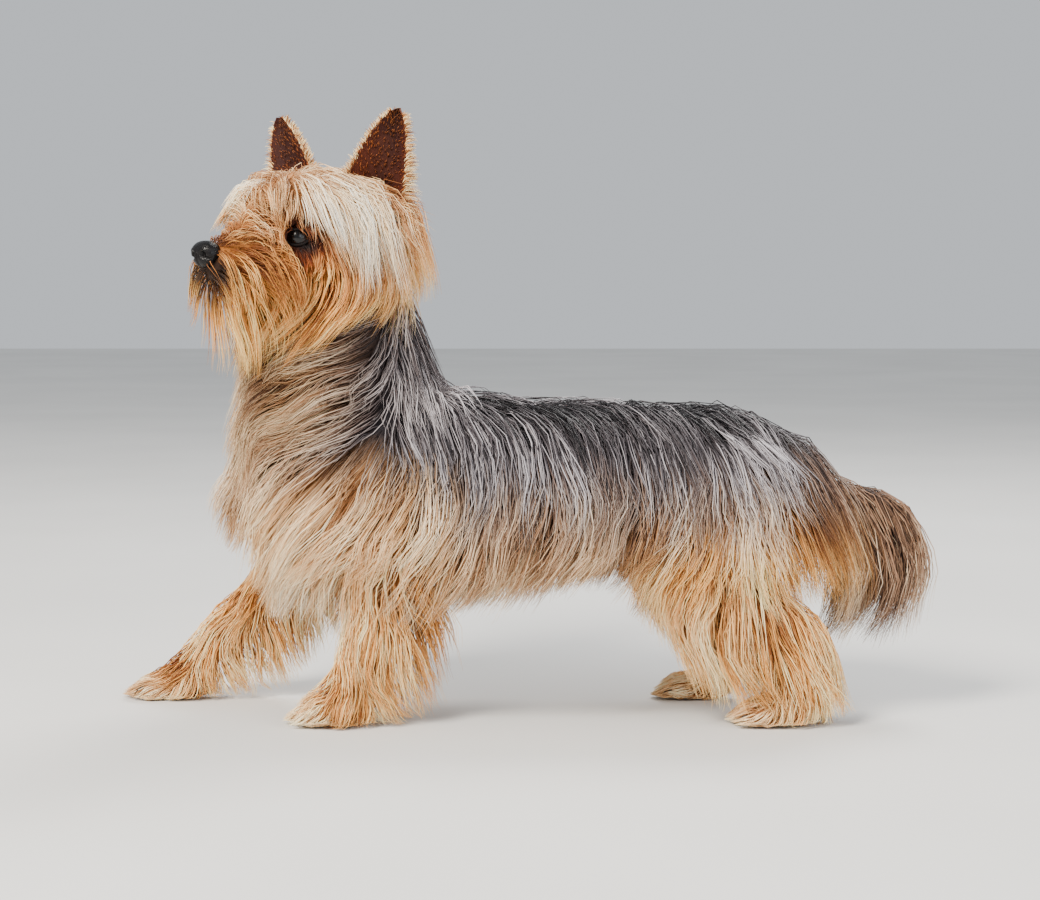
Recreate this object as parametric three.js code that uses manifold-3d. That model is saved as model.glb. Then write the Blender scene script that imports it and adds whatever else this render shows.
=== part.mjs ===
// Yorkshire terrier, a still life-size model, in mid-stride with its head turned to its left.
// Millimetres, +Z up, the head towards -X, the dog's left side towards -Y, the floor at Z = 0.
import * as THREE from "three";
import { mergeVertices } from "three/addons/utils/BufferGeometryUtils.js";
import Module from "manifold-3d";

const wasm = await Module();
wasm.setup();

// Driving dimensions
const BACK = 200; // height of the skin over the loin
const BREAST = 98; // height of the skin under the chest
const GIRTH = 50; // half the width of the ribs
const TRACK = 43; // from the middle of the body to the middle of each leg
const SKULL = 34; // half the width of the skull, its coat with it
const SOLE = 0; // height of the floor
const MIDLINE = 6; // how far the body stands to the right of the model's origin
const AHEAD = 4; // how far the whole dog stands ahead of it
const GAP = 0.32; // clearance between pieces that touch
const COAT_SEED = 1; // start of every random choice in the coat
const LOCK_THICK = 3.4; // depth of a lock at its root
const LOCK_SINK = 5; // how deep a lock's root is sunk

const LEFT = new THREE.Vector3(0, -1, 0);
const DOWN = new THREE.Vector3(0, 0, -1);
const at = (x, y, z) => new THREE.Vector3(x, y, z);

// Seeded random numbers from 0 to 1
function seeded(seed) {
  let state = seed + COAT_SEED * 1000;
  return () => {
    state = (state + 0x6d2b79f5) | 0;
    let t = Math.imul(state ^ (state >>> 15), 1 | state);
    t = (t + Math.imul(t ^ (t >>> 7), 61 | t)) ^ t;
    return ((t ^ (t >>> 14)) >>> 0) / 4294967296;
  };
}

const mix = (a, b, t) => a + (b - a) * t;
const smooth = (low, high, x) => THREE.MathUtils.smoothstep(x, low, high);

// A solid from closed rings of points, joined in order, with a pole at each end
function ringSolid(rings, firstPole, lastPole) {
  const around = rings[0].length;
  const points = [...rings.flat(), firstPole, lastPole];
  const first = rings.length * around;
  const faces = [];
  for (let j = 0; j < around; j++) {
    const k = (j + 1) % around;
    faces.push(first, k, j);
    for (let i = 0; i + 1 < rings.length; i++) {
      const [a, b] = [i * around, (i + 1) * around];
      faces.push(a + j, a + k, b + k, a + j, b + k, b + j);
    }
    const last = (rings.length - 1) * around;
    faces.push(first + 1, last + j, last + k);
  }
  return solidOf(geometryOf(points, faces));
}

// A solid between two sheets of points that share their rows and columns
function sheetSolid(back, front) {
  const columns = back[0].length;
  const points = [...back.flat(), ...front.flat()];
  const behind = (i, j) => i * columns + j;
  const ahead = (i, j) => (back.length + i) * columns + j;
  const faces = [];
  const quad = (a, b, c, d) => faces.push(a, b, c, a, c, d);
  for (let i = 0; i + 1 < back.length; i++) {
    for (let j = 0; j + 1 < columns; j++) {
      quad(behind(i, j), behind(i, j + 1), behind(i + 1, j + 1), behind(i + 1, j));
      quad(ahead(i, j), ahead(i + 1, j), ahead(i + 1, j + 1), ahead(i, j + 1));
    }
    const last = columns - 1;
    quad(behind(i, 0), behind(i + 1, 0), ahead(i + 1, 0), ahead(i, 0));
    quad(behind(i, last), ahead(i, last), ahead(i + 1, last), behind(i + 1, last));
  }
  for (let j = 0; j + 1 < columns; j++) {
    const end = back.length - 1;
    quad(behind(0, j), ahead(0, j), ahead(0, j + 1), behind(0, j + 1));
    quad(behind(end, j), behind(end, j + 1), ahead(end, j + 1), ahead(end, j));
  }
  return solidOf(geometryOf(points, faces));
}

function geometryOf(points, faces) {
  const flat = points.flatMap((p) => [p.x, p.y, p.z]);
  return new THREE.BufferGeometry()
    .setAttribute("position", new THREE.Float32BufferAttribute(flat, 3))
    .setIndex(faces);
}

// A three.js geometry as a solid that faces outwards
function solidOf(geometry) {
  const bare = geometry.clone();
  bare.deleteAttribute("normal");
  bare.deleteAttribute("uv");
  const merged = mergeVertices(bare, 1e-4);
  const make = (triVerts) =>
    new wasm.Manifold(
      new wasm.Mesh({
        numProp: 3,
        vertProperties: merged.attributes.position.array,
        triVerts,
      }),
    );
  const faces = new Uint32Array(merged.index.array);
  const solid = make(faces);
  if (solid.volume() > 0) return solid;
  return make(faces.map((_, i) => faces[i - (i % 3) + (2 - (i % 3))]));
}

const largest = (solid) =>
  solid.decompose().reduce((a, b) => (b.volume() > a.volume() ? b : a));
const joined = (solids) => largest(wasm.Manifold.union(solids));

// A rounded form: oval sections along a spine. A station is {at, wide, high}; wide is measured
// along the form's across direction and high square to it.
class Form {
  constructor(stations, { across = LEFT, steps = 14, around = 14, round = 1 } = {}) {
    this.across = across.clone().normalize();
    this.spine = new THREE.CatmullRomCurve3(stations.map((s) => s.at), false, "centripetal");
    this.sizes = new THREE.CatmullRomCurve3(
      stations.map((s) => at(s.wide, s.high, 0)), false, "centripetal",
    );
    Object.assign(this, { steps, around, round });
    this.samples = Array.from({ length: 25 }, (_, i) => this.section(i / 24));
  }
  section(u) {
    const centre = this.spine.getPoint(u);
    const tangent = this.spine.getTangent(u);
    const across = this.across.clone();
    across.addScaledVector(tangent, -across.dot(tangent)).normalize();
    const up = across.clone().cross(tangent).normalize();
    const size = this.sizes.getPoint(u);
    return { centre, tangent, across, up, wide: size.x, high: size.y };
  }
  // The point at share u of the spine and at an angle from the section's top, grow outside the form
  point(u, angle, grow = 0) {
    const s = this.section(u);
    return s.centre
      .clone()
      .addScaledVector(s.across, (s.wide + grow) * Math.sin(angle))
      .addScaledVector(s.up, (s.high + grow) * Math.cos(angle));
  }
  solid(grow = 0) {
    const rings = [];
    const ring = (s, shift, share) => {
      const points = [];
      for (let j = 0; j < this.around; j++) {
        const angle = (j / this.around) * 2 * Math.PI;
        points.push(
          s.centre
            .clone()
            .addScaledVector(s.tangent, shift)
            .addScaledVector(s.across, (s.wide + grow) * share * Math.sin(angle))
            .addScaledVector(s.up, (s.high + grow) * share * Math.cos(angle)),
        );
      }
      rings.push(points);
    };
    const [head, tail] = [this.section(0), this.section(1)];
    const cap = (s) => this.round * Math.min(s.wide, s.high) + grow;
    ring(head, -cap(head) * Math.sin(1), Math.cos(1));
    for (let i = 0; i <= this.steps; i++) ring(this.section(i / this.steps), 0, 1);
    ring(tail, cap(tail) * Math.sin(1), Math.cos(1));
    return ringSolid(
      rings,
      head.centre.clone().addScaledVector(head.tangent, -cap(head)),
      tail.centre.clone().addScaledVector(tail.tangent, cap(tail)),
    );
  }
  // Roughly how far a point lies outside the form
  distance(p) {
    let best = Infinity;
    let index = 0;
    this.samples.forEach((s, i) => {
      const d = s.centre.distanceToSquared(p);
      if (d < best) [best, index] = [d, i];
    });
    const s = this.samples[index];
    const offset = p.clone().sub(s.centre);
    const along = offset.dot(s.tangent);
    const ends = index === 0 || index === this.samples.length - 1;
    const beyond = ends ? along / (this.round * Math.min(s.wide, s.high)) : 0;
    const a = offset.dot(s.across) / s.wide;
    const b = offset.dot(s.up) / s.high;
    const reach = Math.hypot(a, b, beyond);
    const length = Math.hypot(offset.dot(s.across), offset.dot(s.up), ends ? along : 0);
    return reach < 1e-6 ? -Math.min(s.wide, s.high) : length * (1 - 1 / reach);
  }
}

// The nearest of several forms to a point, and the direction away from them
const outside = (forms, p) => Math.min(...forms.map((f) => f.distance(p)));
function away(forms, p) {
  const h = 0.6;
  const slope = (axis) => {
    const [a, b] = [p.clone(), p.clone()];
    a[axis] += h;
    b[axis] -= h;
    return outside(forms, a) - outside(forms, b);
  };
  return at(slope("x"), slope("y"), slope("z")).normalize();
}

// Body forms, each the flesh with half of the coat's depth

const station = (x, top, bottom, wide) => ({
  at: at(x, 0, (top + bottom) / 2),
  wide,
  high: (top - bottom) / 2,
});
const TORSO = new Form(
  [
    station(-158, 172, 124, 24),
    station(-128, 196, 104, 40),
    station(-80, BACK + 8, BREAST - 4, GIRTH),
    station(-20, BACK + 5, BREAST - 4, GIRTH + 5),
    station(40, BACK + 2, BREAST, GIRTH + 4),
    station(90, BACK + 1, BREAST + 9, GIRTH - 1),
    station(135, BACK - 2, BREAST + 17, GIRTH - 5),
    station(172, BACK - 18, BREAST + 26, GIRTH - 17),
  ],
  { steps: 8, around: 12, round: 0.8 },
);
const limb = (points) => points.map(([x, y, z, wide, high]) => ({ at: at(x, y, z), wide, high }));
const MUSCLE = { steps: 3, around: 8 };
const shoulder = (side, x, z) =>
  new Form(
    limb([
      [x + 16, side * 36, z + 24, 17, 26],
      [x, side * 40, z, 19, 27],
      [x - 8, side * 41, z - 20, 17, 24],
    ]),
    MUSCLE,
  );
const thigh = (side, x, z) =>
  new Form(
    limb([
      [x + 12, side * 33, z + 22, 20, 30],
      [x, side * 39, z - 6, 22, 37],
      [x - 10, side * 41, z - 28, 20, 30],
    ]),
    MUSCLE,
  );
const NEAR = -1;
const FAR = 1;
const SHOULDERS = [shoulder(NEAR, -92, 146), shoulder(FAR, -118, 146)];
const THIGHS = [thigh(NEAR, 132, 140), thigh(FAR, 120, 140)];

const NECK = new Form(
  limb([
    [-97, 0, 176, 42, 60],
    [-107, 0, 206, 41, 58],
    [-109, -4, 238, 38, 49],
    [-108, -10, 268, 35, 41],
    [-109, -16, 292, 30, 33],
  ]),
  { steps: 5, around: 12, round: 0.5 },
);

const TAIL = new Form(
  limb([
    [178, 0, 152, 11, 12],
    [200, 0, 143, 9, 9],
    [226, 0, 139, 7, 7],
    [246, 0, 133, 5, 5],
  ]),
  { steps: 5, around: 6, round: 1 },
);

// Legs: the upper stretch in the trunk, then the joints down to the wrist or hock
const leg = (side, steps, points) =>
  new Form(
    limb(points.map(([x, ...rest]) => [x, side * TRACK, ...rest])),
    { steps, around: 8, round: 0.6 },
  );
const LEGS = {
  left_foreleg: leg(NEAR, 6, [
    [-78, 122, 16, 21],
    [-78, 98, 15, 18],
    [-88, 64, 12.5, 14],
    [-97, 32, 11.5, 13],
    [-102, 20, 12, 14],
  ]),
  right_foreleg: leg(FAR, 6, [
    [-122, 122, 16, 21],
    [-140, 98, 15, 18],
    [-172, 62, 12.5, 14],
    [-202, 32, 11.5, 13],
    [-214, 20, 12, 13],
  ]),
  left_hind_leg: leg(NEAR, 8, [
    [124, 126, 19, 30],
    [124, 100, 18, 28],
    [146, 76, 15, 21],
    [180, 54, 12, 15],
    [184, 32, 11, 13],
    [178, 20, 12, 14],
  ]),
  right_hind_leg: leg(FAR, 8, [
    [108, 126, 19, 29],
    [104, 100, 18, 26],
    [118, 76, 14, 20],
    [142, 54, 11, 13],
    [142, 32, 10, 12],
    [136, 20, 11.5, 13],
  ]),
};

// The head's own frame: forward, left and up from the middle of the skull
const HEAD_TURN = THREE.MathUtils.degToRad(45);
const HEAD = at(-127, -24, 313);
const FORWARD = at(-Math.cos(HEAD_TURN), -Math.sin(HEAD_TURN), 0);
const SIDE = at(Math.sin(HEAD_TURN), -Math.cos(HEAD_TURN), 0);
const UP = at(0, 0, 1);
const face = (forward, side, up) =>
  HEAD.clone().addScaledVector(FORWARD, forward).addScaledVector(SIDE, side).addScaledVector(UP, up);
const facing = (forward, side, up) => face(forward, side, up).sub(HEAD);
const faceStation = (forward, up, wide, high) => ({ at: face(forward, 0, up), wide, high });
const SKULL_FORM = new Form(
  [
    faceStation(-38, 0, 24, 22),
    faceStation(-20, 2, SKULL - 1, 31),
    faceStation(4, 2, SKULL + 1, 33),
    faceStation(18, -1, SKULL - 4, 31),
    faceStation(30, -7, 23.5, 27),
    faceStation(40, -14, 20, 21.5),
    faceStation(51, -20, 18, 17),
    faceStation(65, -23, 16, 14.5),
    faceStation(76, -23.5, 13.5, 12),
  ],
  { across: SIDE.clone().negate(), steps: 11, around: 12, round: 0.35 },
);
const CHEEKS = [NEAR, FAR].map(
  (side) =>
    new Form(
      [
        { at: face(22, -side * 22, -16), wide: 14, high: 18 },
        { at: face(-4, -side * 28, -18), wide: 16, high: 22 },
        { at: face(-26, -side * 22, -14), wide: 14, high: 20 },
      ],
      { across: SIDE, steps: 3, around: 8 },
    ),
);

const EAR_ROOTS = [NEAR, FAR].map(
  (side) =>
    new Form(
      [
        { at: face(-4, -side * 25, 14), wide: 8, high: 10 },
        { at: face(-20, -side * 29, 10), wide: 11, high: 16 },
        { at: face(-36, -side * 25, 4), wide: 9, high: 14 },
      ],
      { across: SIDE, steps: 3, around: 6 },
    ),
);

const EYE_RADIUS = 8.6;
const EYE = { forward: 27, side: 19.5, up: -4 };
const eyeCentre = (side) => face(EYE.forward, side * EYE.side, EYE.up);

// A closed ball, stretched along the head's own directions
function ball(centre, radii, wide = 14, high = 10) {
  const basis = new THREE.Matrix4().makeBasis(FORWARD, SIDE, UP);
  const geometry = new THREE.SphereGeometry(1, wide, high)
    .scale(radii[0], radii[1], radii[2])
    .applyMatrix4(basis)
    .translate(centre.x, centre.y, centre.z);
  return solidOf(geometry);
}

// Lids: a ring round each eye, set square to the way the eye looks
function lids(side) {
  const look = facing(0.72, side * 0.66, 0.06).normalize();
  const flat = UP.clone().cross(look).normalize();
  const rise = look.clone().cross(flat).normalize();
  const ring = new THREE.TorusGeometry(6.6, 2.3, 5, 11)
    .scale(1.12, 0.86, 1)
    .applyMatrix4(new THREE.Matrix4().makeBasis(flat, rise, look));
  const seat = eyeCentre(side).addScaledVector(look, 5.4);
  return solidOf(ring.translate(seat.x, seat.y, seat.z));
}

// The nose pad with its two nostrils
const NOSE = { forward: 80, up: -18 };
function nose(grow = 0) {
  const pad = ball(face(NOSE.forward, 0, NOSE.up), [7.5 + grow, 10 + grow, 8.2 + grow], 10, 8);
  if (grow) return pad;
  const nostril = (side) => ball(face(NOSE.forward + 6.4, side * 5.2, NOSE.up - 0.5), [4.2, 2.3, 2], 6, 4);
  return largest(pad.subtract(nostril(1)).subtract(nostril(-1)));
}

// The line of the mouth: a thin slit from the front of the lips back along both sides
function mouthSlit() {
  const line = new THREE.CatmullRomCurve3([
    face(96, 0, -29),
    face(80, 0, -29.5),
    face(64, 0, -31),
    face(50, 0, -35),
  ]);
  const half = 30;
  const points = line.getPoints(4);
  const rings = points.map((p) =>
    [[-half, -0.45], [half, -0.45], [half, 0.45], [-half, 0.45]].map(([s, w]) =>
      p.clone().addScaledVector(SIDE, s).addScaledVector(UP, w),
    ),
  );
  return ringSolid(rings, points[0], points[points.length - 1]);
}

// An ear: a thin cupped sheet that narrows to its tip and opens forwards
const EAR = { halfWidth: 23, cup: 9, thick: 2.6, turn: 0.2, rows: 6, columns: 6 };
function ear(side) {
  const base = face(-22, side * 30, 6);
  const tip = face(-24, side * 58, 71);
  const axis = tip.clone().sub(base);
  const along = axis.clone().normalize();
  const open = facing(0.9, EAR.turn + side * 0.26, -0.1);
  open.addScaledVector(along, -open.dot(along)).normalize();
  const width = along.clone().cross(open).normalize();
  const sheet = (offset) =>
    Array.from({ length: EAR.rows + 1 }, (_, i) => {
      const s = i / EAR.rows;
      const half = EAR.halfWidth * (1 - s) ** 0.72 * (0.86 + 0.55 * s) + 0.9;
      const depth = EAR.cup * (1 - 0.65 * s);
      return Array.from({ length: EAR.columns + 1 }, (_, j) => {
        const a = (j / EAR.columns) * 2 - 1;
        return base
          .clone()
          .addScaledVector(axis, s)
          .addScaledVector(width, a * half)
          .addScaledVector(open, depth * a * a - depth * 0.6 + offset);
      });
    });
  return sheetSolid(sheet(-EAR.thick / 2), sheet(EAR.thick / 2));
}

// Paws: a flat-soled pad with four toes and their claws
const TOES = [-1.5, -0.5, 0.5, 1.5];
const PAW = { length: 25, half: 13, height: 15 };
const PAWS = {
  left_forepaw: { at: at(-108, -TRACK, SOLE), yaw: 0 },
  right_forepaw: { at: at(-223, TRACK, SOLE), yaw: 0 },
  left_hind_paw: { at: at(170, -TRACK, SOLE), yaw: 0 },
  right_hind_paw: { at: at(128, TRACK, SOLE), yaw: 0 },
};
const FLOOR_CUT = 400;
const floorBlock = () =>
  solidOf(new THREE.BoxGeometry(FLOOR_CUT * 2, FLOOR_CUT, 40).translate(0, 0, SOLE - 20));
function pawPieces(name, grow = 0) {
  const { at: place } = PAWS[name];
  const oval = (x, y, z, rx, ry, rz, wide, high) =>
    solidOf(
      new THREE.SphereGeometry(1, wide, high)
        .scale(rx + grow, ry + grow, rz + grow)
        .translate(place.x + x, place.y + y, place.z + z),
    );
  const pieces = [oval(0, 0, 9, 15, PAW.half, 11, 8, 6)];
  TOES.forEach((slot) => {
    const reach = -PAW.length + 7 + Math.abs(slot) * 2.4;
    pieces.push(oval(reach, slot * 6.3, 6.5, 9.5, 4.4, 6.8, 6, 4));
    const claw = new THREE.ConeGeometry(1.5 + grow, 8 + grow, 3)
      .rotateZ(Math.PI / 2 + 0.35)
      .translate(place.x + reach - 10.5, place.y + slot * 6.5, place.z + 5.2);
    pieces.push(solidOf(claw));
  });
  return pieces;
}

// Coat: flat tapered locks, each laid along the coat's lie over the forms it covers

// One lock along its points, with the way out at each; grow makes it larger all round
function lockSolid({ path, width, thick = LOCK_THICK }, grow = 0) {
  const rings = [];
  const count = path.length - 1;
  path.slice(0, count).forEach(({ p, out }, i) => {
    const next = path[i + 1].p;
    const before = path[Math.max(i - 1, 0)].p;
    const tangent = next.clone().sub(before).normalize();
    const side = tangent.clone().cross(out).normalize();
    const top = side.clone().cross(tangent).normalize();
    const t = i / count;
    const half = (width / 2) * (0.6 + 1.1 * t - 1.45 * t * t);
    const high = thick * (1 - 0.45 * t);
    const edge = Math.atan2(high, half);
    const reach = half + grow / Math.tan(edge / 2);
    const foot = p.clone().addScaledVector(top, -high * 0.35 - grow);
    const ridge = p.clone().addScaledVector(top, high * 0.65 + grow / Math.cos(edge));
    const corner = (way) => foot.clone().addScaledVector(side, way * reach);
    rings.push([corner(1), ridge, corner(-1)]);
  });
  const start = path[0].p.clone();
  start.addScaledVector(path[1].p.clone().sub(start).normalize(), -grow - 0.1);
  const end = path[count].p.clone();
  end.addScaledVector(end.clone().sub(path[count - 1].p).normalize(), grow * 11);
  return ringSolid(rings, start, end);
}

// The way the coat lies at a point, before gravity and the skin bend it
const sideOf = (p) => Math.sign(p.y || 1);
function bodyLie(p) {
  const height = THREE.MathUtils.clamp((205 - p.z) / 105, 0, 1);
  const topLean = mix(-0.35, 1.5, smooth(-95, 0, p.x));
  const lowLean = mix(-0.5, 0.35, smooth(130, 180, p.x));
  return at(mix(topLean, lowLean, Math.sqrt(height)), sideOf(p) * mix(0.9, 0.1, height), -1);
}
const leaning = (x, side, z) => (p) => at(x, sideOf(p) * side, z);
const tailLie = (p) => at(mix(-0.6, 0.42, smooth(60, 140, p.z)), sideOf(p) * 0.12, -1);
const legLie = (lean, out) => (p) => at(lean + 0.12 * Math.sin(p.z / 9 + p.x / 7), out, -1);
const headLie = (forward, out, up) => (p) => {
  const side = Math.sign(p.clone().sub(HEAD).dot(SIDE) || 1);
  return facing(forward, side * out, up);
};

// A lock's path: from a root sunk under the surface, along the lie, held outside the forms below it
function layPath(root, out, { lie, length, rise, low, clear = [], under, steps = 4 }) {
  let bearing = out.clone();
  const path = [{ p: root.clone().addScaledVector(out, -LOCK_SINK), out: bearing }];
  let p = root.clone().addScaledVector(out, 0.5);
  for (let i = 1; i <= steps; i++) {
    const normal = away(under, p);
    const way = lie(p);
    const into = Math.min(0, way.dot(normal)) * smooth(30, 8, outside(under, p));
    way.addScaledVector(normal, -into).normalize();
    p = p.clone().addScaledVector(way, length / steps);
    const want = mix(1, rise, i / steps);
    for (let k = 0; k < 3; k++) {
      const lack = want - outside(under, p);
      if (lack > 0) p.addScaledVector(away(under, p), lack);
      const near = clear.length ? want + 2 - outside(clear, p) : 0;
      if (near > 0) p.addScaledVector(away(clear, p), near);
    }
    p.z = Math.max(p.z, low + 1.6 * (steps - i));
    bearing = bearing.clone().multiplyScalar(1.2).add(away(under, p)).normalize();
    path.push({ p: p.clone(), out: bearing });
  }
  return path;
}

// A patch of locks on one form: rows along its spine and columns at angles, staggered like tiles
function patch(form, { rows, angles, width, length, rise = 7, keep, seed, thick, ...way }) {
  const random = seeded(seed);
  const vary = (amount) => 1 + (random() * 2 - 1) * amount;
  const pitch = rows.length > 1 ? rows[1] - rows[0] : 0;
  const locks = [];
  rows.forEach((u) =>
    angles.forEach((angle, j) => {
      const shift = (j % 2) * 0.5 * pitch + (random() - 0.5) * 0.2 * pitch;
      const root = form.point(THREE.MathUtils.clamp(u + shift, 0.01, 0.99), angle + (random() - 0.5) * 0.12);
      const out = away([form], root);
      const size = { length: length * vary(0.16), rise: rise * vary(0.2) };
      const low = SOLE + 5 + 2 * random();
      const wide = width * vary(0.14);
      if (keep && !keep(root)) return;
      locks.push({ path: layPath(root, out, { ...way, ...size, low }), width: wide, thick });
    }),
  );
  return locks;
}

const span = (from, to, count) =>
  Array.from({ length: count }, (_, i) => mix(from, to, count > 1 ? i / (count - 1) : 0));
const both = (angles) => [...angles, ...angles.map((a) => -a)];
const LEG_FORMS = Object.values(LEGS);
const TRUNK = [TORSO, ...SHOULDERS, ...THIGHS];
const HEAD_FORMS = [SKULL_FORM, ...CHEEKS, ...EAR_ROOTS];
const SIDES = (root) => outside([...SHOULDERS, ...THIGHS], root) > -5;

const COAT = {
  torso: () => [
    ...patch(TORSO, {
      rows: span(0.22, 0.92, 7), angles: both([0.22, 0.8, 1.36]), width: 36, length: 62,
      rise: 11, lie: bodyLie, under: TRUNK, clear: LEG_FORMS, seed: 11, keep: SIDES,
    }),
    ...patch(TORSO, {
      rows: span(0.27, 0.84, 7), angles: both([1.82]), width: 32, length: 54, steps: 3,
      rise: 8, lie: bodyLie, under: TRUNK, clear: LEG_FORMS, seed: 13, keep: SIDES,
    }),
    ...patch(TORSO, {
      rows: span(0.33, 0.74, 5), angles: both([1.55]), width: 30, length: 50, steps: 3,
      rise: 9, lie: bodyLie, under: TRUNK, clear: LEG_FORMS, seed: 14,
    }),
    ...patch(TORSO, {
      rows: span(0.31, 0.8, 6), angles: both([2.3]), width: 30, length: 52, steps: 3,
      rise: 6, lie: bodyLie, under: TRUNK, clear: LEG_FORMS, seed: 12,
    }),
    ...[...SHOULDERS, ...THIGHS].flatMap((form, i) =>
      patch(form, {
        rows: [0.1, 0.8], angles: [0.7, 1.5, 2.3].map((a) => (i % 2 ? -a : a)), width: 26,
        length: 50, rise: 8, steps: 3, lie: bodyLie, under: TRUNK, clear: LEG_FORMS, seed: 20 + i,
      }),
    ),
    ...patch(TORSO, {
      rows: [0.02, 0.14], angles: both([0.7, 1.7, 2.7]), width: 28, length: 50, steps: 3,
      rise: 14, lie: leaning(-1, 0.2, -0.7), under: TRUNK, clear: LEG_FORMS, seed: 31,
    }),
  ],
  neck: () =>
    patch(NECK, {
      rows: span(0.3, 0.72, 3), angles: both([0.4, 1.35, 2.3]), width: 34, length: 54, rise: 8,
      lie: (p) => at(mix(-0.85, -0.2, smooth(-150, -75, p.x)), sideOf(p) * 0.35, -1), steps: 3,
      under: [NECK, ...TRUNK], clear: HEAD_FORMS, seed: 41,
    }),
  head: () => [
    ...patch(SKULL_FORM, {
      rows: [0.04, 0.2, 0.36], angles: both([0.3, 0.95]), width: 19, length: 32, rise: 5, steps: 3,
      lie: headLie(-0.7, 0.7, -0.4), under: HEAD_FORMS, seed: 51,
    }),
    ...CHEEKS.flatMap((form, i) =>
      patch(form, {
        rows: [0.2, 0.85], angles: [0.3, 1.2, 2.1].map((a) => (i ? -a : a)), width: 20, length: 52,
        rise: 8, lie: headLie(-0.3, 0.4, -1), under: HEAD_FORMS, seed: 56 + i, steps: 3,
      }),
    ),
    ...patch(SKULL_FORM, {
      rows: [0.42], angles: both([0.25, 0.8]), width: 15, length: 30, rise: 9, steps: 3,
      lie: headLie(0.8, 0.5, 0.05), under: HEAD_FORMS, seed: 61,
    }),
    ...patch(SKULL_FORM, {
      rows: [0.02], angles: both([0.5, 1.4]), width: 20, length: 44, rise: 14, steps: 3,
      lie: headLie(-0.5, 0.3, -1), under: HEAD_FORMS, seed: 64,
    }),
    ...patch(SKULL_FORM, {
      rows: span(0.64, 0.9, 3), angles: both([1.5]), width: 14, length: 28, rise: 5, steps: 3,
      lie: headLie(-0.35, 0.55, -1), under: HEAD_FORMS, seed: 62,
    }),
    ...patch(SKULL_FORM, {
      rows: span(0.55, 0.93, 4), angles: both([2.5]), width: 16, length: 40, rise: 5, steps: 3,
      lie: headLie(-0.1, 0.2, -1), under: HEAD_FORMS, seed: 63,
    }),
  ],
  tail: () =>
    patch(TAIL, {
      rows: span(0.05, 0.95, 5), angles: both([1.9]), width: 27, length: 92, rise: 3,
      lie: tailLie, under: [TAIL], clear: TRUNK, seed: 71,
    }),
};
const LEG_COAT = {
  left_foreleg: { lean: -0.2, feather: 0.55, rows: span(0.2, 0.84, 3) },
  right_foreleg: { lean: -0.5, feather: 0.3, rows: span(0.25, 0.84, 3) },
  left_hind_leg: { lean: 0.25, feather: 0.5, rows: span(0.1, 0.84, 3) },
  right_hind_leg: { lean: 0.2, feather: 0.4, rows: span(0.1, 0.84, 3) },
};
Object.entries(LEG_COAT).forEach(([name, { lean, feather, rows }], i) => {
  const outer = name.startsWith("left") ? 1 : -1;
  COAT[name] = () => [
    ...patch(LEGS[name], {
      rows, angles: [outer * 1.41, outer * 2.7, -outer * 1.8], width: 24, length: 44, rise: 5, steps: 3,
      lie: legLie(lean, 0), under: [LEGS[name]], clear: TRUNK, seed: 80 + i,
    }),
    ...patch(LEGS[name], {
      rows: span(0.3, 0.86, 3), angles: [0.45, -0.45], width: 18, length: 44, rise: 6, steps: 3,
      lie: legLie(feather, 0), under: [LEGS[name]], clear: TRUNK, seed: 90 + i,
    }),
  ];
});

// Assembly

const COLOURS = {
  steel: 0x5d5f68,
  gold: 0xc89a63,
  cream: 0xd9bd92,
  skin: 0x7d4a35,
  black: 0x1b1718,
  taupe: 0x83705c,
};
const material = (name) =>
  new THREE.MeshStandardMaterial({
    color: COLOURS[name],
    roughness: name === "black" ? 0.35 : 0.8,
    metalness: 0,
  });
const dog = new THREE.Group();
dog.position.set(-AHEAD, MIDLINE, 0);
function add(name, solid, finish) {
  const mesh = solid.getMesh();
  const geometry = new THREE.BufferGeometry()
    .setAttribute("position", new THREE.BufferAttribute(mesh.vertProperties, 3))
    .setIndex(new THREE.BufferAttribute(mesh.triVerts, 1));
  geometry.computeVertexNormals();
  const piece = new THREE.Mesh(geometry, material(finish));
  piece.name = name;
  dog.add(piece);
}

// A node: its core forms and its locks, with the larger copies that its neighbours are cut by
function node(name, forms) {
  const laid = COAT[name] ? COAT[name]() : [];
  const locks = laid.map((l) => lockSolid(l));
  return {
    locks,
    solid: wasm.Manifold.union([...forms.map((f) => f.solid()), ...locks]),
    grown: [
      ...forms.map((f) => f.solid(GAP)),
      ...laid.map((l) => lockSolid(l, GAP)),
      ...locks,
    ],
  };
}
const cutBy = (solid, pieces) =>
  pieces.reduce(
    (left, piece) => (left.intersect(piece).volume() > 0.0001 ? left.subtract(piece) : left),
    solid,
  );

const eyeBall = (side, grow = 0) => {
  const radius = EYE_RADIUS + grow;
  return ball(eyeCentre(side), [radius, radius, radius], 12, 8);
};

const head = node("head", HEAD_FORMS);
const bareHead = wasm.Manifold.union([...HEAD_FORMS.map((f) => f.solid()), lids(1), lids(-1)]);
const headSolid = largest(
  cutBy(wasm.Manifold.union([cutBy(bareHead, [mouthSlit()]), ...head.locks]), [
    eyeBall(1, GAP),
    eyeBall(-1, GAP),
    nose(GAP),
  ]),
);
const neck = node("neck", [NECK]);
const torso = node("torso", TRUNK);
const tail = node("tail", [TAIL]);

add("head", headSolid, "gold");
add("nose", nose(), "black");
add("left_eye", eyeBall(1), "black");
add("right_eye", eyeBall(-1), "black");
add("left_ear", largest(cutBy(ear(1), head.grown)), "skin");
add("right_ear", largest(cutBy(ear(-1), head.grown)), "skin");
add("neck", largest(cutBy(neck.solid, head.grown)), "steel");
add("torso", largest(cutBy(torso.solid, neck.grown)), "steel");
add("tail", largest(cutBy(tail.solid, torso.grown)), "taupe");

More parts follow.
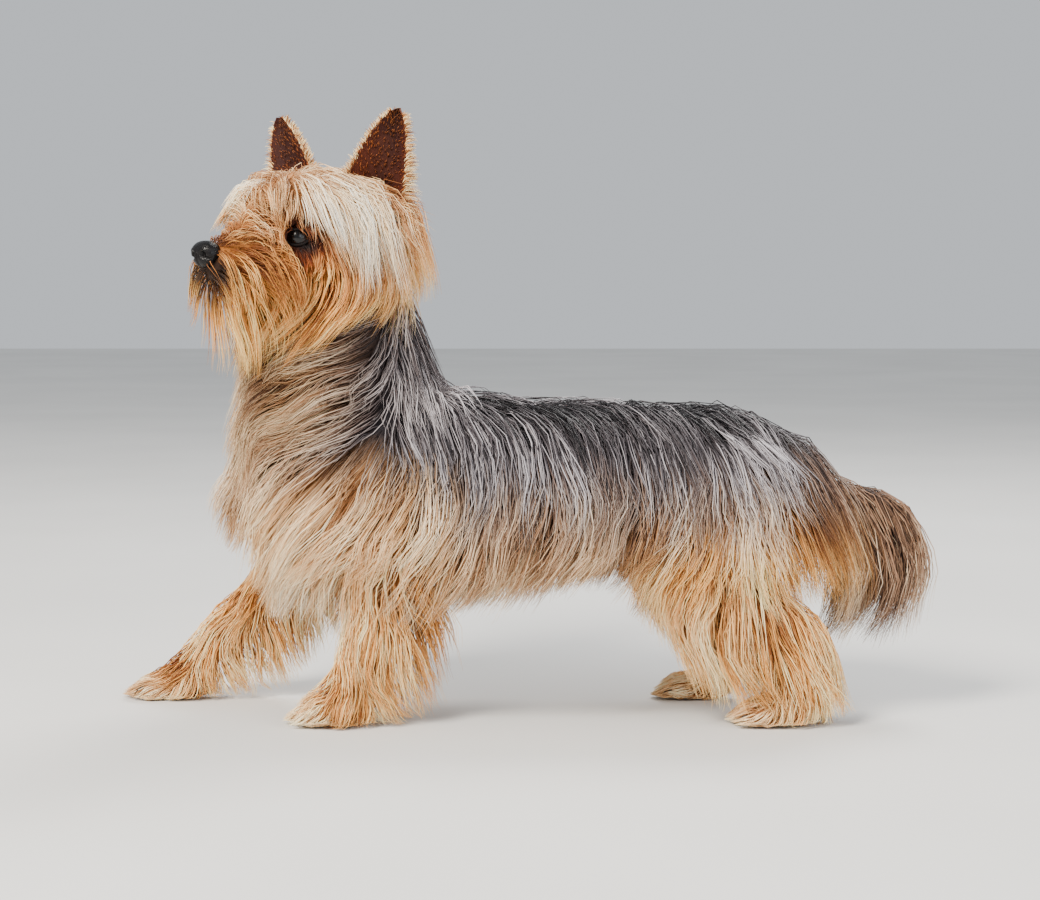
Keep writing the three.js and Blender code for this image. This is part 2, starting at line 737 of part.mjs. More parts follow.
const PAW_OF = {
  left_foreleg: "left_forepaw",
  right_foreleg: "right_forepaw",
  left_hind_leg: "left_hind_paw",
  right_hind_leg: "right_hind_paw",
};
for (const [name, paw] of Object.entries(PAW_OF)) {
  const solid = node(name, [LEGS[name]]).solid;
  const sole = wasm.Manifold.union(pawPieces(paw)).subtract(floorBlock());
  add(name, largest(cutBy(solid, [...torso.grown, ...pawPieces(paw, GAP)])), "cream");
  add(paw, largest(sole), "cream");
}

export default dog;
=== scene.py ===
import logging
import math
from dataclasses import dataclass
from enum import Enum
from typing import Callable, Sequence

import bmesh
import bpy
import numpy as np
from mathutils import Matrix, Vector, kdtree


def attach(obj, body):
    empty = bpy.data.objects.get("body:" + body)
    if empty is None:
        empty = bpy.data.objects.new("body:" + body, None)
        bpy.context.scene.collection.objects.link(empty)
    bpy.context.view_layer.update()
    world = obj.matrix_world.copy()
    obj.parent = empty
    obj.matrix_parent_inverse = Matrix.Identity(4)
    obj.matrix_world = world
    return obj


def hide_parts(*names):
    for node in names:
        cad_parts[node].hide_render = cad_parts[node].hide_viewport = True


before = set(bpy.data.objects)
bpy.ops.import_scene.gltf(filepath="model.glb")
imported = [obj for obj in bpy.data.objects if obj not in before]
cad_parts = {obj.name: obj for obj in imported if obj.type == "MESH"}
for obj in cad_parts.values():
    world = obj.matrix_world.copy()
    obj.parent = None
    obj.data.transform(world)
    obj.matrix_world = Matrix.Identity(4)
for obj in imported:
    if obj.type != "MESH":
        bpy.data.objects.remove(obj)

logging.basicConfig(level=logging.INFO, format="%(message)s")
LOG = logging.getLogger("terrier")

Array = np.ndarray
Faces = Sequence[Sequence[int]] | np.ndarray
Net = tuple[Array, list[list[int]]]  # points in mm, and the point numbers of each face
MM = 0.001
PLACE = np.array([-4.0, 6.0, 0.0])  # where the body's own origin stands in the model, in mm
NEAR, FAR = -1, 1  # the body's sides along Y
BOTH = (1, -1)  # left and right in the head's frame
TRACK = 43.0  # from the middle of the body to the middle of each leg
TOES = (-1.5, -0.5, 0.5, 1.5)  # the toes' places across a paw, in toe widths
PAWS = ((-108.0, NEAR), (-223.0, FAR), (170.0, NEAR), (128.0, FAR))  # each paw's place and side
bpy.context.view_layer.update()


def unit(v: Array) -> Array:
    """Scale vectors to length one.

    Args:
        v: Vectors along the last axis.

    Returns:
        The same directions at length one.
    """
    return v / np.maximum(np.linalg.norm(v, axis=-1, keepdims=True), 1e-9)


def smooth(low: float, high: float, x: Array) -> Array:
    """Rise smoothly from 0 at low to 1 at high.

    Args:
        low: Where the rise starts.
        high: Where it ends; below low, the step falls instead.
        x: Values to map.

    Returns:
        Shares from 0 to 1.
    """
    t = np.clip((x - low) / (high - low), 0.0, 1.0)
    return t * t * (3.0 - 2.0 * t)


def columns(*values: Array | float) -> Array:
    """Stack values as columns, with single numbers stretched to the others' length."""
    return np.column_stack(np.broadcast_arrays(*values))


def circle(count: int) -> Array:
    """Give angles spread evenly around a circle."""
    return np.linspace(0, 2 * np.pi, count, endpoint=False)


def spot(a: Array, b: Array, at: tuple[float, float], half: tuple[float, float]) -> Array:
    """Fade from 1 at a place to 0 around it, in an oval.

    Args:
        a: The points' first coordinate.
        b: Their second coordinate.
        at: The place.
        half: How far the oval reaches along each coordinate.

    Returns:
        Shares from 0 to 1.
    """
    return np.exp(-(((a - at[0]) / half[0]) ** 2 + ((b - at[1]) / half[1]) ** 2))


def halo(a: Array, b: Array, at: tuple[float, float], spread: float) -> Array:
    """Fade from 1 at a place to 0 around it, in a round.

    Args:
        a: The points' first coordinate.
        b: Their second coordinate.
        at: The place.
        spread: The square of the distance at which the share has fallen to 0.37.

    Returns:
        Shares from 0 to 1.
    """
    return np.exp(-((a - at[0]) ** 2 + (b - at[1]) ** 2) / spread)


def melt(a: Array, b: Array, width: float) -> Array:
    """Join two forms with a rounded crease between them.

    Args:
        a: Distances to one form, in mm.
        b: Distances to the other.
        width: How wide the crease is, in mm.

    Returns:
        Distances to both together.
    """
    share = np.clip(0.5 + 0.5 * (a - b) / width, 0, 1)
    return a * (1 - share) + b * share - width * share * (1 - share)


def toe_tip(x: float, slot: float) -> float:
    """Say where a toe of the paw at x ends along the body."""
    return x - 25 + abs(slot) * 2.4


def catmull(points: Array, u: Array) -> Array:
    """Follow a centripetal Catmull-Rom curve.

    Args:
        points: Control points, one row each.
        u: Shares of the curve, from 0 to 1.

    Returns:
        One point for each share.
    """
    n = len(points)
    x = (n - 1) * u
    i = np.minimum(x.astype(int), n - 2)
    w = (x - i)[:, None]
    ends = np.vstack([2 * points[0] - points[1], points, 2 * points[-1] - points[-2]])
    p0, p1, p2, p3 = ends[i], ends[i + 1], ends[i + 2], ends[i + 3]
    gap = lambda a, b: np.maximum(np.linalg.norm(b - a, axis=1, keepdims=True) ** 0.5, 1e-4)
    d0, d1, d2 = gap(p0, p1), gap(p1, p2), gap(p2, p3)
    d0 = np.where(d0 <= 1e-4, d1, d0)
    d2 = np.where(d2 <= 1e-4, d1, d2)
    t1 = ((p1 - p0) / d0 - (p2 - p0) / (d0 + d1) + (p2 - p1) / d1) * d1
    t2 = ((p2 - p1) / d1 - (p3 - p1) / (d1 + d2) + (p3 - p2) / d2) * d1
    c2 = -3 * p1 + 3 * p2 - 2 * t1 - t2
    c3 = 2 * p1 - 2 * p2 + t1 + t2
    return p1 + t1 * w + c2 * w**2 + c3 * w**3


@dataclass
class Form:
    """A rounded stretch of flesh: oval sections along a spine, in mm.

    Attributes:
        stations: Rows of x, y, z, half width and half height.
        across: The direction in which the half width is measured.
        cap: How round the ends are, as a share of the section's smaller half.
        grow: How far the surface stands outside the stations' sizes.
        samples: How many sections distances are measured from.
    """

    stations: Sequence[Sequence[float]]
    across: Sequence[float] = (0.0, -1.0, 0.0)
    cap: float = 1.0
    grow: float = 0.0
    samples: int = 33

    def __post_init__(self) -> None:
        """Work out the sections that distances are measured from."""
        rows = np.array(self.stations, dtype=float)
        u = np.linspace(0, 1, self.samples)
        self.centre = catmull(rows[:, :3], u)
        ahead = catmull(rows[:, :3], np.minimum(u + 0.002, 1))
        behind = catmull(rows[:, :3], np.maximum(u - 0.002, 0))
        self.tangent = unit(ahead - behind)
        side = np.array(self.across, dtype=float)
        self.side = unit(side - self.tangent * (self.tangent @ side)[:, None])
        self.up = unit(np.cross(self.side, self.tangent))
        sizes = catmull(np.column_stack([rows[:, 3:5], 0 * rows[:, 0]]), u)
        self.wide = sizes[:, 0] + self.grow
        self.high = sizes[:, 1] + self.grow

    def nearest(self, p: Array) -> Array:
        """Find the section nearest to each point.

        Args:
            p: Points in mm.

        Returns:
            The sections' numbers.
        """
        best = np.empty(len(p), dtype=int)
        batch = 60_000
        for start in range(0, len(p), batch):
            part = p[start : start + batch]
            d = (part**2).sum(1)[:, None] - 2 * part @ self.centre.T + (self.centre**2).sum(1)
            best[start : start + batch] = d.argmin(1)
        return best

    def distance(self, p: Array) -> Array:
        """Measure roughly how far points lie outside the form.

        Args:
            p: Points in mm.

        Returns:
            Distances in mm, negative inside.
        """
        i = self.nearest(p)
        off = p - self.centre[i]
        along = (off * self.tangent[i]).sum(1)
        end = (i == 0) | (i == self.samples - 1)
        along = np.where(end, along, 0.0)
        a = (off * self.side[i]).sum(1)
        b = (off * self.up[i]).sum(1)
        small = np.minimum(self.wide, self.high)[i] * self.cap
        reach = np.sqrt((a / self.wide[i]) ** 2 + (b / self.high[i]) ** 2 + (along / small) ** 2)
        length = np.sqrt(a**2 + b**2 + along**2)
        return length * (1 - 1 / np.maximum(reach, 1e-3))

    def unroll(self, p: Array) -> Array:
        """Unwrap points around the form.

        Args:
            p: Points on the form, in mm.

        Returns:
            The share along the spine and the share around it.
        """
        i = self.nearest(p)
        off = p - self.centre[i]
        angle = np.arctan2((off * self.side[i]).sum(1), (off * self.up[i]).sum(1))
        return np.column_stack([i / (self.samples - 1), angle / (2 * np.pi) + 0.5])


class Head:
    """The head's own frame: forward, left and up from the middle of the skull."""

    centre = np.array([-127.0, -24.0, 313.0])
    turn = math.radians(45)
    forward = np.array([-math.cos(turn), -math.sin(turn), 0.0])
    side = np.array([math.sin(turn), -math.cos(turn), 0.0])
    up = np.array([0.0, 0.0, 1.0])

    @classmethod
    def at(cls, f: float, s: float, w: float) -> Array:
        """Place a point given in the head's frame, in mm."""
        return cls.centre + f * cls.forward + s * cls.side + w * cls.up

    @classmethod
    def way(cls, f: Array, s: Array, w: Array) -> Array:
        """Turn directions given in the head's frame."""
        return np.outer(f, cls.forward) + np.outer(s, cls.side) + np.outer(w, cls.up)

    @classmethod
    def coordinates(cls, p: Array) -> tuple[Array, Array, Array]:
        """Read points in the head's frame."""
        off = p - cls.centre
        return off @ cls.forward, off @ cls.side, off @ cls.up


class Zone(Enum):
    """The parts of the coat, each with its own lie and length."""

    TRUNK = 0
    NECK = 1
    HEAD = 2
    FORELEG_NEAR = 3
    FORELEG_FAR = 4
    HIND_NEAR = 5
    HIND_FAR = 6
    TAIL = 7
    PAW = 8


def station(x: float, top: float, bottom: float, wide: float) -> tuple[float, ...]:
    """Give one section of the trunk from its top and bottom."""
    return (x, 0.0, (top + bottom) / 2, wide, (top - bottom) / 2)


def face_row(f: float, w: float, wide: float, high: float) -> tuple[float, ...]:
    """Give one section of the head in the head's frame."""
    return (*Head.at(f, 0, w), wide, high)


@dataclass(frozen=True)
class Leg:
    """One leg and the lie of its coat.

    Attributes:
        side: The side of the body.
        rows: Place along the body, height, half width and half depth of each section, from the top down.
        lean: How far the coat leans along the body.
        feather: How far it swings back behind the leg.
    """

    side: int
    rows: tuple[tuple[float, ...], ...]
    lean: float
    feather: float

    def form(self) -> Form:
        """Build the leg's flesh."""
        return Form([(x, self.side * TRACK, *rest) for x, *rest in self.rows], cap=0.6, grow=-3.0)

    def lie(self, p: Array) -> Array:
        """Lay the coat in waves, with feathers behind the leg.

        Args:
            p: Points in mm.

        Returns:
            Directions.
        """
        places, heights = np.array(self.rows)[::-1, :2].T
        behind = smooth(0, 16, p[:, 0] - np.interp(p[:, 2], heights, places))
        wave = 0.16 * np.sin(p[:, 2] / 8 + p[:, 0] / 9 + p[:, 1] / 5)
        return columns(self.lean + (self.feather - self.lean) * behind + wave, 0.0, -1.0)


LEGS: dict[Zone, Leg] = {
    Zone.FORELEG_NEAR: Leg(NEAR, ((-78, 122, 16, 21), (-78, 98, 15, 18), (-88, 64, 12.5, 14),
                                  (-97, 32, 11.5, 13), (-103, 14, 12, 14)), -0.16, 0.42),
    Zone.FORELEG_FAR: Leg(FAR, ((-122, 122, 16, 21), (-140, 98, 15, 18), (-172, 62, 12.5, 14),
                                (-202, 32, 11.5, 13), (-216, 15, 12, 13)), -0.5, 0.3),
    Zone.HIND_NEAR: Leg(NEAR, ((124, 126, 19, 30), (124, 100, 18, 28), (146, 76, 15, 21),
                               (180, 54, 12, 15), (184, 32, 11, 13), (177, 14, 12, 14)), 0.22, 0.36),
    Zone.HIND_FAR: Leg(FAR, ((108, 126, 19, 29), (104, 100, 18, 26), (118, 76, 14, 20),
                             (142, 54, 11, 13), (142, 32, 10, 12), (135, 14, 11.5, 13)), 0.2, 0.3),
}


@dataclass
class Flesh:
    """The dog's flesh under its coat: every form, in mm.

    Attributes:
        under: How far the skin lies inside the solids' cores.
    """

    under: float = 5.0

    def __post_init__(self) -> None:
        """Build the forms of every zone."""
        trunk = Form(
            [station(-158, 172, 124, 24), station(-128, 196, 104, 40), station(-80, 208, 94, 50),
             station(-20, 205, 94, 55), station(40, 202, 98, 54), station(90, 201, 107, 49),
             station(135, 198, 115, 45), station(172, 182, 124, 33)],
            cap=0.8, grow=-self.under,
        )
        blades = [self.slab(side, x, 146, (36, 40, 41), (17, 19, 17), (26, 27, 24), (24, 0, -20))
                  for side, x in ((NEAR, -92), (FAR, -118))]
        thighs = [self.slab(side, x, 140, (33, 39, 41), (20, 22, 20), (30, 37, 30), (22, -6, -28))
                  for side, x in ((NEAR, 132), (FAR, 120))]
        neck = Form(
            [(-97, 0, 176, 42, 60), (-107, 0, 206, 41, 58), (-109, -4, 238, 38, 49),
             (-108, -10, 268, 35, 41), (-109, -16, 292, 30, 33)],
            cap=0.5, grow=-self.under - 1,
        )
        skull = Form(
            [face_row(-38, 0, 24, 22), face_row(-20, 2, 33, 31), face_row(4, 2, 35, 33),
             face_row(18, -1, 30, 31), face_row(30, -7, 23.5, 27), face_row(40, -14, 20, 21.5),
             face_row(51, -20, 18, 17), face_row(65, -23, 16, 14.5), face_row(76, -23.5, 13.5, 12)],
            across=tuple(Head.side), cap=0.35, grow=-1.5,
        )
        cheeks = [
            Form([(*Head.at(22, s * 20, -16), 14, 18), (*Head.at(-4, s * 26, -18), 16, 22),
                  (*Head.at(-26, s * 20, -14), 14, 20)], across=tuple(Head.side), grow=-4)
            for s in BOTH
        ]
        ear_roots = [
            Form([(*Head.at(-4, s * 25, 14), 8, 10), (*Head.at(-20, s * 29, 10), 11, 16),
                  (*Head.at(-36, s * 25, 4), 9, 14)], across=tuple(Head.side), grow=-1.5)
            for s in BOTH
        ]
        self.zones: dict[Zone, list[Form]] = {
            Zone.TRUNK: [trunk, *blades, *thighs],
            Zone.NECK: [neck],
            Zone.HEAD: [skull, *cheeks, *ear_roots],
            **{zone: [leg.form()] for zone, leg in LEGS.items()},
            Zone.TAIL: [Form([(178, 0, 152, 11, 12), (200, 0, 143, 9, 9), (226, 0, 139, 7, 7),
                              (246, 0, 133, 5, 5)], grow=-1.5)],
            Zone.PAW: [form for x, side in PAWS for form in self.paw(x, side * TRACK)],
        }

    def slab(self, side: int, x: float, z: float, ys: Sequence[float], wides: Sequence[float],
             highs: Sequence[float], rises: Sequence[float]) -> Form:
        """Build a flat mass of muscle on one side of the trunk.

        Args:
            side: The side of the body.
            x: Where its middle stands along the body.
            z: Its height.
            ys: Distances from the middle of the body, top to bottom.
            wides: Half thicknesses.
            highs: Half lengths along the body.
            rises: Heights of the sections above z.

        Returns:
            The form.
        """
        shifts = [rise * 0.6 if rise > 0 else rise * 0.38 for rise in rises]
        rows = [(x + shift, side * y, z + rise, wide, high)
                for shift, y, rise, wide, high in zip(shifts, ys, rises, wides, highs)]
        return Form(rows, grow=-self.under)

    def paw(self, x: float, y: float) -> list[Form]:
        """Build a paw's pad and its four toes.

        Args:
            x: Where the paw stands along the body.
            y: Where it stands across the body.

        Returns:
            The forms.
        """
        forms = [Form([(x + 8, y, 9, 11, 8), (x - 6, y, 8.5, 12, 8.5)], grow=-0.6, samples=5)]
        for slot in TOES:
            tip = toe_tip(x, slot)
            rows = [(tip + 10, y + slot * 6, 7.5, 4.4, 5.8), (tip + 3, y + slot * 6.3, 6.6, 4.4, 5.6)]
            forms.append(Form(rows, grow=-0.4, samples=5))
        return forms

    def distance(self, p: Array, zone: Zone) -> Array:
        """Measure how far points lie outside one zone's forms."""
        return np.min([form.distance(p) for form in self.zones[zone]], axis=0)


@dataclass
class Field:
    """Distances to the skin, kept on a grid.

    Attributes:
        low: The grid's lowest corner, in mm.
        pitch: The grid's pitch, in mm.
        values: Distances in mm, negative inside.
    """

    low: Array
    pitch: float
    values: Array

    @classmethod
    def measure(cls, flesh: Flesh, pitch: float, margin: float, reach: float) -> "Field":
        """Sample the flesh on a grid.

        Args:
            flesh: The forms.
            pitch: The grid's pitch, in mm.
            margin: How far the grid goes past the dog.
            reach: How far from each form distances are worked out.

        Returns:
            The field.
        """
        low = np.array([-262.0, -100.0, 0.0]) - margin
        high = np.array([262.0, 70.0, 350.0]) + margin
        count = np.ceil((high - low) / pitch).astype(int)
        net = cls(low, pitch, np.full(count, 60.0, dtype=np.float32))
        for form in (form for forms in flesh.zones.values() for form in forms):
            around = reach + np.maximum(form.wide, form.high)[:, None]
            first = np.floor(((form.centre - around).min(0) - low) / pitch).astype(int).clip(0, count)
            last = np.ceil(((form.centre + around).max(0) - low) / pitch).astype(int).clip(0, count)
            box = tuple(slice(a, b) for a, b in zip(first, last))
            old = net.values[box]
            d = form.distance(net.inside(box)).reshape(old.shape)
            net.values[box] = melt(old, d, 5.0 if form.wide.max() > 9 else 1.2)
        return net

    def __post_init__(self) -> None:
        """Leave the slopes to the first call that needs them."""
        self.slope: Array | None = None

    def axes(self) -> list[Array]:
        """Give the grid's places along each axis."""
        return [self.low[k] + self.pitch * np.arange(self.values.shape[k]) for k in range(3)]

    def inside(self, box: tuple[slice, ...]) -> Array:
        """Give the grid's points in a box of cells.

        Args:
            box: The cells along each axis.

        Returns:
            Points in mm.
        """
        grid = np.meshgrid(*[axis[part] for axis, part in zip(self.axes(), box)], indexing="ij")
        return np.column_stack([g.ravel() for g in grid])

    def sample(self, grid: Array, p: Array) -> Array:
        """Interpolate a grid at points.

        Args:
            grid: Values or vectors on the grid.
            p: Points in mm.

        Returns:
            One row for each point.
        """
        g = (p - self.low) / self.pitch
        g = np.clip(g, 0, np.array(grid.shape[:3]) - 1.001)
        i = g.astype(int)
        w = g - i
        out = 0
        for dx in (0, 1):
            for dy in (0, 1):
                for dz in (0, 1):
                    share = ((w[:, 0] if dx else 1 - w[:, 0]) * (w[:, 1] if dy else 1 - w[:, 1])
                             * (w[:, 2] if dz else 1 - w[:, 2]))
                    corner = grid[i[:, 0] + dx, i[:, 1] + dy, i[:, 2] + dz]
                    out = out + (share[:, None] * corner if corner.ndim > 1 else share * corner)
        return out

    def at(self, p: Array) -> Array:
        """Read distances at points."""
        return self.sample(self.values, p)

    def away(self, p: Array) -> Array:
        """Read the direction out of the skin at points.

        Args:
            p: Points in mm.

        Returns:
            Directions.
        """
        if self.slope is None:
            self.slope = np.stack(np.gradient(self.values), axis=-1).astype(np.float32)
        return unit(self.sample(self.slope, p))

    def surface(self) -> tuple[Array, Array]:
        """Net the zero surface with quads.

        Returns:
            Vertices in mm, and quads with their faces outwards.
        """
        v = self.values
        nx, ny, nz = v.shape
        offsets = [(a, b, c) for a in (0, 1) for b in (0, 1) for c in (0, 1)]
        cut = lambda o: v[o[0] : nx - 1 + o[0], o[1] : ny - 1 + o[1], o[2] : nz - 1 + o[2]]
        inside = sum((cut(o) < 0).astype(np.int8) for o in offsets)
        cells = np.argwhere((inside > 0) & (inside < 8))
        index = np.full((nx - 1, ny - 1, nz - 1), -1)
        index[tuple(cells.T)] = np.arange(len(cells))
        total = np.zeros((len(cells), 3))
        hits = np.zeros(len(cells))
        for a in offsets:
            for k in range(3):
                if a[k]:
                    continue
                b = tuple(a[j] + (j == k) for j in range(3))
                va = v[tuple((cells + a).T)]
                vb = v[tuple((cells + b).T)]
                crossing = (va < 0) != (vb < 0)
                t = np.where(crossing, va / np.where(crossing, va - vb, 1), 0)
                spot = np.array(a, dtype=float) + t[:, None] * (np.array(b) - np.array(a))
                total += np.where(crossing[:, None], spot, 0)
                hits += crossing
        points = self.low + self.pitch * (cells + total / hits[:, None])
        quads = []
        for k in range(3):
            i, j = (k + 1) % 3, (k + 2) % 3
            first = [slice(None)] * 3
            second = [slice(None)] * 3
            first[k], second[k] = slice(0, -1), slice(1, None)
            a, b = v[tuple(first)] < 0, v[tuple(second)] < 0
            spots = np.argwhere(a != b)
            spots = spots[(spots[:, i] > 0) & (spots[:, j] > 0)]
            leaving = a[tuple(spots.T)]
            ring = []
            for di, dj in ((-1, -1), (0, -1), (0, 0), (-1, 0)):
                cell = spots.copy()
                cell[:, i] += di
                cell[:, j] += dj
                cell = np.minimum(cell, np.array(index.shape) - 1)
                ring.append(index[tuple(cell.T)])
            ring = np.column_stack(ring)
            quads.append(np.where(leaving[:, None], ring, ring[:, ::-1]))
        faces = np.vstack(quads)
        return points, faces[(faces >= 0).all(1)]


def new_mesh(name: str, points: Array, faces: Faces, smooth_faces: bool = True) -> bpy.types.Object:
    """Make an object from points in the body's mm.

    Args:
        name: The piece's name.
        points: Vertices in mm.
        faces: Vertex numbers of each face.
        smooth_faces: Whether the faces are shaded smooth.

    Returns:
        The object, linked to the scene.
    """
    mesh = bpy.data.meshes.new(name)
    rows = faces.tolist() if isinstance(faces, np.ndarray) else faces
    mesh.from_pydata(((points + PLACE) * MM).tolist(), [], rows)
    if smooth_faces:
        mesh.polygons.foreach_set("use_smooth", [True] * len(mesh.polygons))
    mesh.update()
    obj = bpy.data.objects.new(name, mesh)
    bpy.context.scene.collection.objects.link(obj)
    return obj


def put_attribute(mesh: bpy.types.Mesh, name: str, kind: str, values: Array) -> None:
    """Store values on a mesh's vertices.

    Args:
        mesh: The mesh.
        name: The attribute's name.
        kind: FLOAT, FLOAT_VECTOR or FLOAT_COLOR.
        values: One row for each vertex.
    """
    attribute = mesh.attributes.new(name, kind, "POINT")
    key = {"FLOAT": "value", "FLOAT_VECTOR": "vector", "FLOAT_COLOR": "color"}[kind]
    attribute.data.foreach_set(key, np.asarray(values, dtype=np.float32).ravel())


class Markings:
    """Where the coat is steel, silver, rust or near-black, with painted shade in the eye sockets and under
    the head; elsewhere it is gold.
    """

    @staticmethod
    def at(root: Array, p: Array, weights: dict[Zone, Array], stray: Array | float = 0.0) -> Array:
        """Mark points of the coat.

        Args:
            root: Where each hair is rooted, in mm.
            p: The points, in mm.
            weights: How much each zone counts at the root.
            stray: How far each lock's markings stray in height, in mm.

        Returns:
            Rows of steel, silver, rust, and near-black with painted shade, from 0 to 1.
        """
        q = 0.6 * root + 0.4 * p
        x, z = q[:, 0], q[:, 2] + stray
        f, s, w = Head.coordinates(q)
        fr, sr, wr = Head.coordinates(root)
        a = np.abs(sr)
        trunk, neck, head = weights[Zone.TRUNK], weights[Zone.NECK], weights[Zone.HEAD]
        low = 0.46 * smooth(78, 108, z) + 0.54 * smooth(134, 192, z)
        rear = smooth(64, 112, x) * smooth(158, 118, z)
        shoulder = smooth(-20, -62, x) * smooth(186, 150, z) * smooth(-158, -130, x)
        steel = trunk * low * (1 - 0.85 * rear) * (1 - 0.85 * shoulder) * (1 - 0.3 * smooth(-118, -160, x))
        steel = steel + neck * (0.4 + 0.5 * smooth(-112, -76, x)) * smooth(300, 264, z)
        steel = steel + weights[Zone.TAIL] * 0.56
        brow = spot(fr, wr, (15, 22), (25, 17))
        lane = fr + 0.6 * stray
        curtain = 1.15 * np.exp(-((lane / 15) ** 2)) * smooth(4, 26, a) * smooth(-30, 24, w)
        stop = spot(fr, wr, (42, 2), (9, 9)) * smooth(13, 6, a)
        whisker = spot(fr, wr, (62, -5), (13, 5)) * smooth(2, 8, a)
        pale = np.clip(1.05 * brow + 0.46 * curtain + 0.8 * stop + 0.5 * whisker, 0, 1)
        silver = head * pale * (1 + stray / 44)
        near_eye = halo(fr, wr, (27, -7), 230) * smooth(3, 9, a)
        silver = silver * (1 - 0.95 * near_eye)
        silver = silver + trunk * 0.7 * smooth(118, 84, z) + 0.5 * weights[Zone.PAW]
        silver = silver + (trunk + neck) * 0.12 * smooth(-138, -170, q[:, 0])
        silver = silver + trunk * 0.55 * shoulder * (1 - smooth(-130, -170, q[:, 0]))
        eye = spot(fr, wr, (29, -12), (17, 15)) * smooth(4, 11, a)
        ear = spot(fr, wr, (-16, 10), (12, 15)) * smooth(24, 34, a)
        lip = spot(fr, wr, (60, -26), (14, 8)) * smooth(6, 13, a)
        rust = head * np.clip(0.95 * eye + 0.6 * ear + 0.45 * lip, 0, 1)
        legs = weights[Zone.FORELEG_NEAR] + weights[Zone.FORELEG_FAR] + weights[Zone.HIND_NEAR]
        silver = silver + legs * (0.12 + stray / 60)
        rust = rust + 0.4 * weights[Zone.HIND_FAR]
        tip = smooth(50, 72, fr)
        bridge = np.exp(-((a / 6) ** 2)) * smooth(-22, -14, wr) * smooth(48, 62, fr)
        mouth = smooth(67, 75, fr) * smooth(-38, -33, wr) * smooth(-16, -23, wr)
        mouth = mouth * smooth(26, 9, np.linalg.norm(p - root, axis=1))
        black_and_shade = head * np.clip(0.55 * bridge * tip + 0.95 * mouth, 0, 1)
        rust = rust + head * 0.7 * bridge
        # Darker hair on the sides of the neck below the head: partly the neck's own dark hair, partly painted
        # shade under the head.
        neck_dark_and_shade = smooth(-184, -150, x) * smooth(-60, -100, x) * smooth(170, 200, z)
        black_and_shade = black_and_shade + neck * 0.26 * neck_dark_and_shade * (1 + stray / 20)
        rim = halo(fr, wr, (25.5, -7), 110) * smooth(4, 10, a)
        black_and_shade = np.clip(black_and_shade + 0.9 * head * rim, 0, 1)
        rust = rust + 0.6 * head * halo(fr, wr, (28, -8), 340) * smooth(4, 10, a)
        # Painted shade: hair over an eye's socket, under the brow, loses its silver and is darkened and
        # warmed in place of the shade there.
        painted_socket_shade = halo(f, w, (27, -8), 120) * smooth(8, 14, np.abs(s)) * head
        silver, black_and_shade, rust = silver * (1 - painted_socket_shade), black_and_shade + 0.6 * painted_socket_shade, rust + 0.6 * painted_socket_shade
        return np.clip(np.column_stack([steel, silver, rust, black_and_shade]), 0, 1)


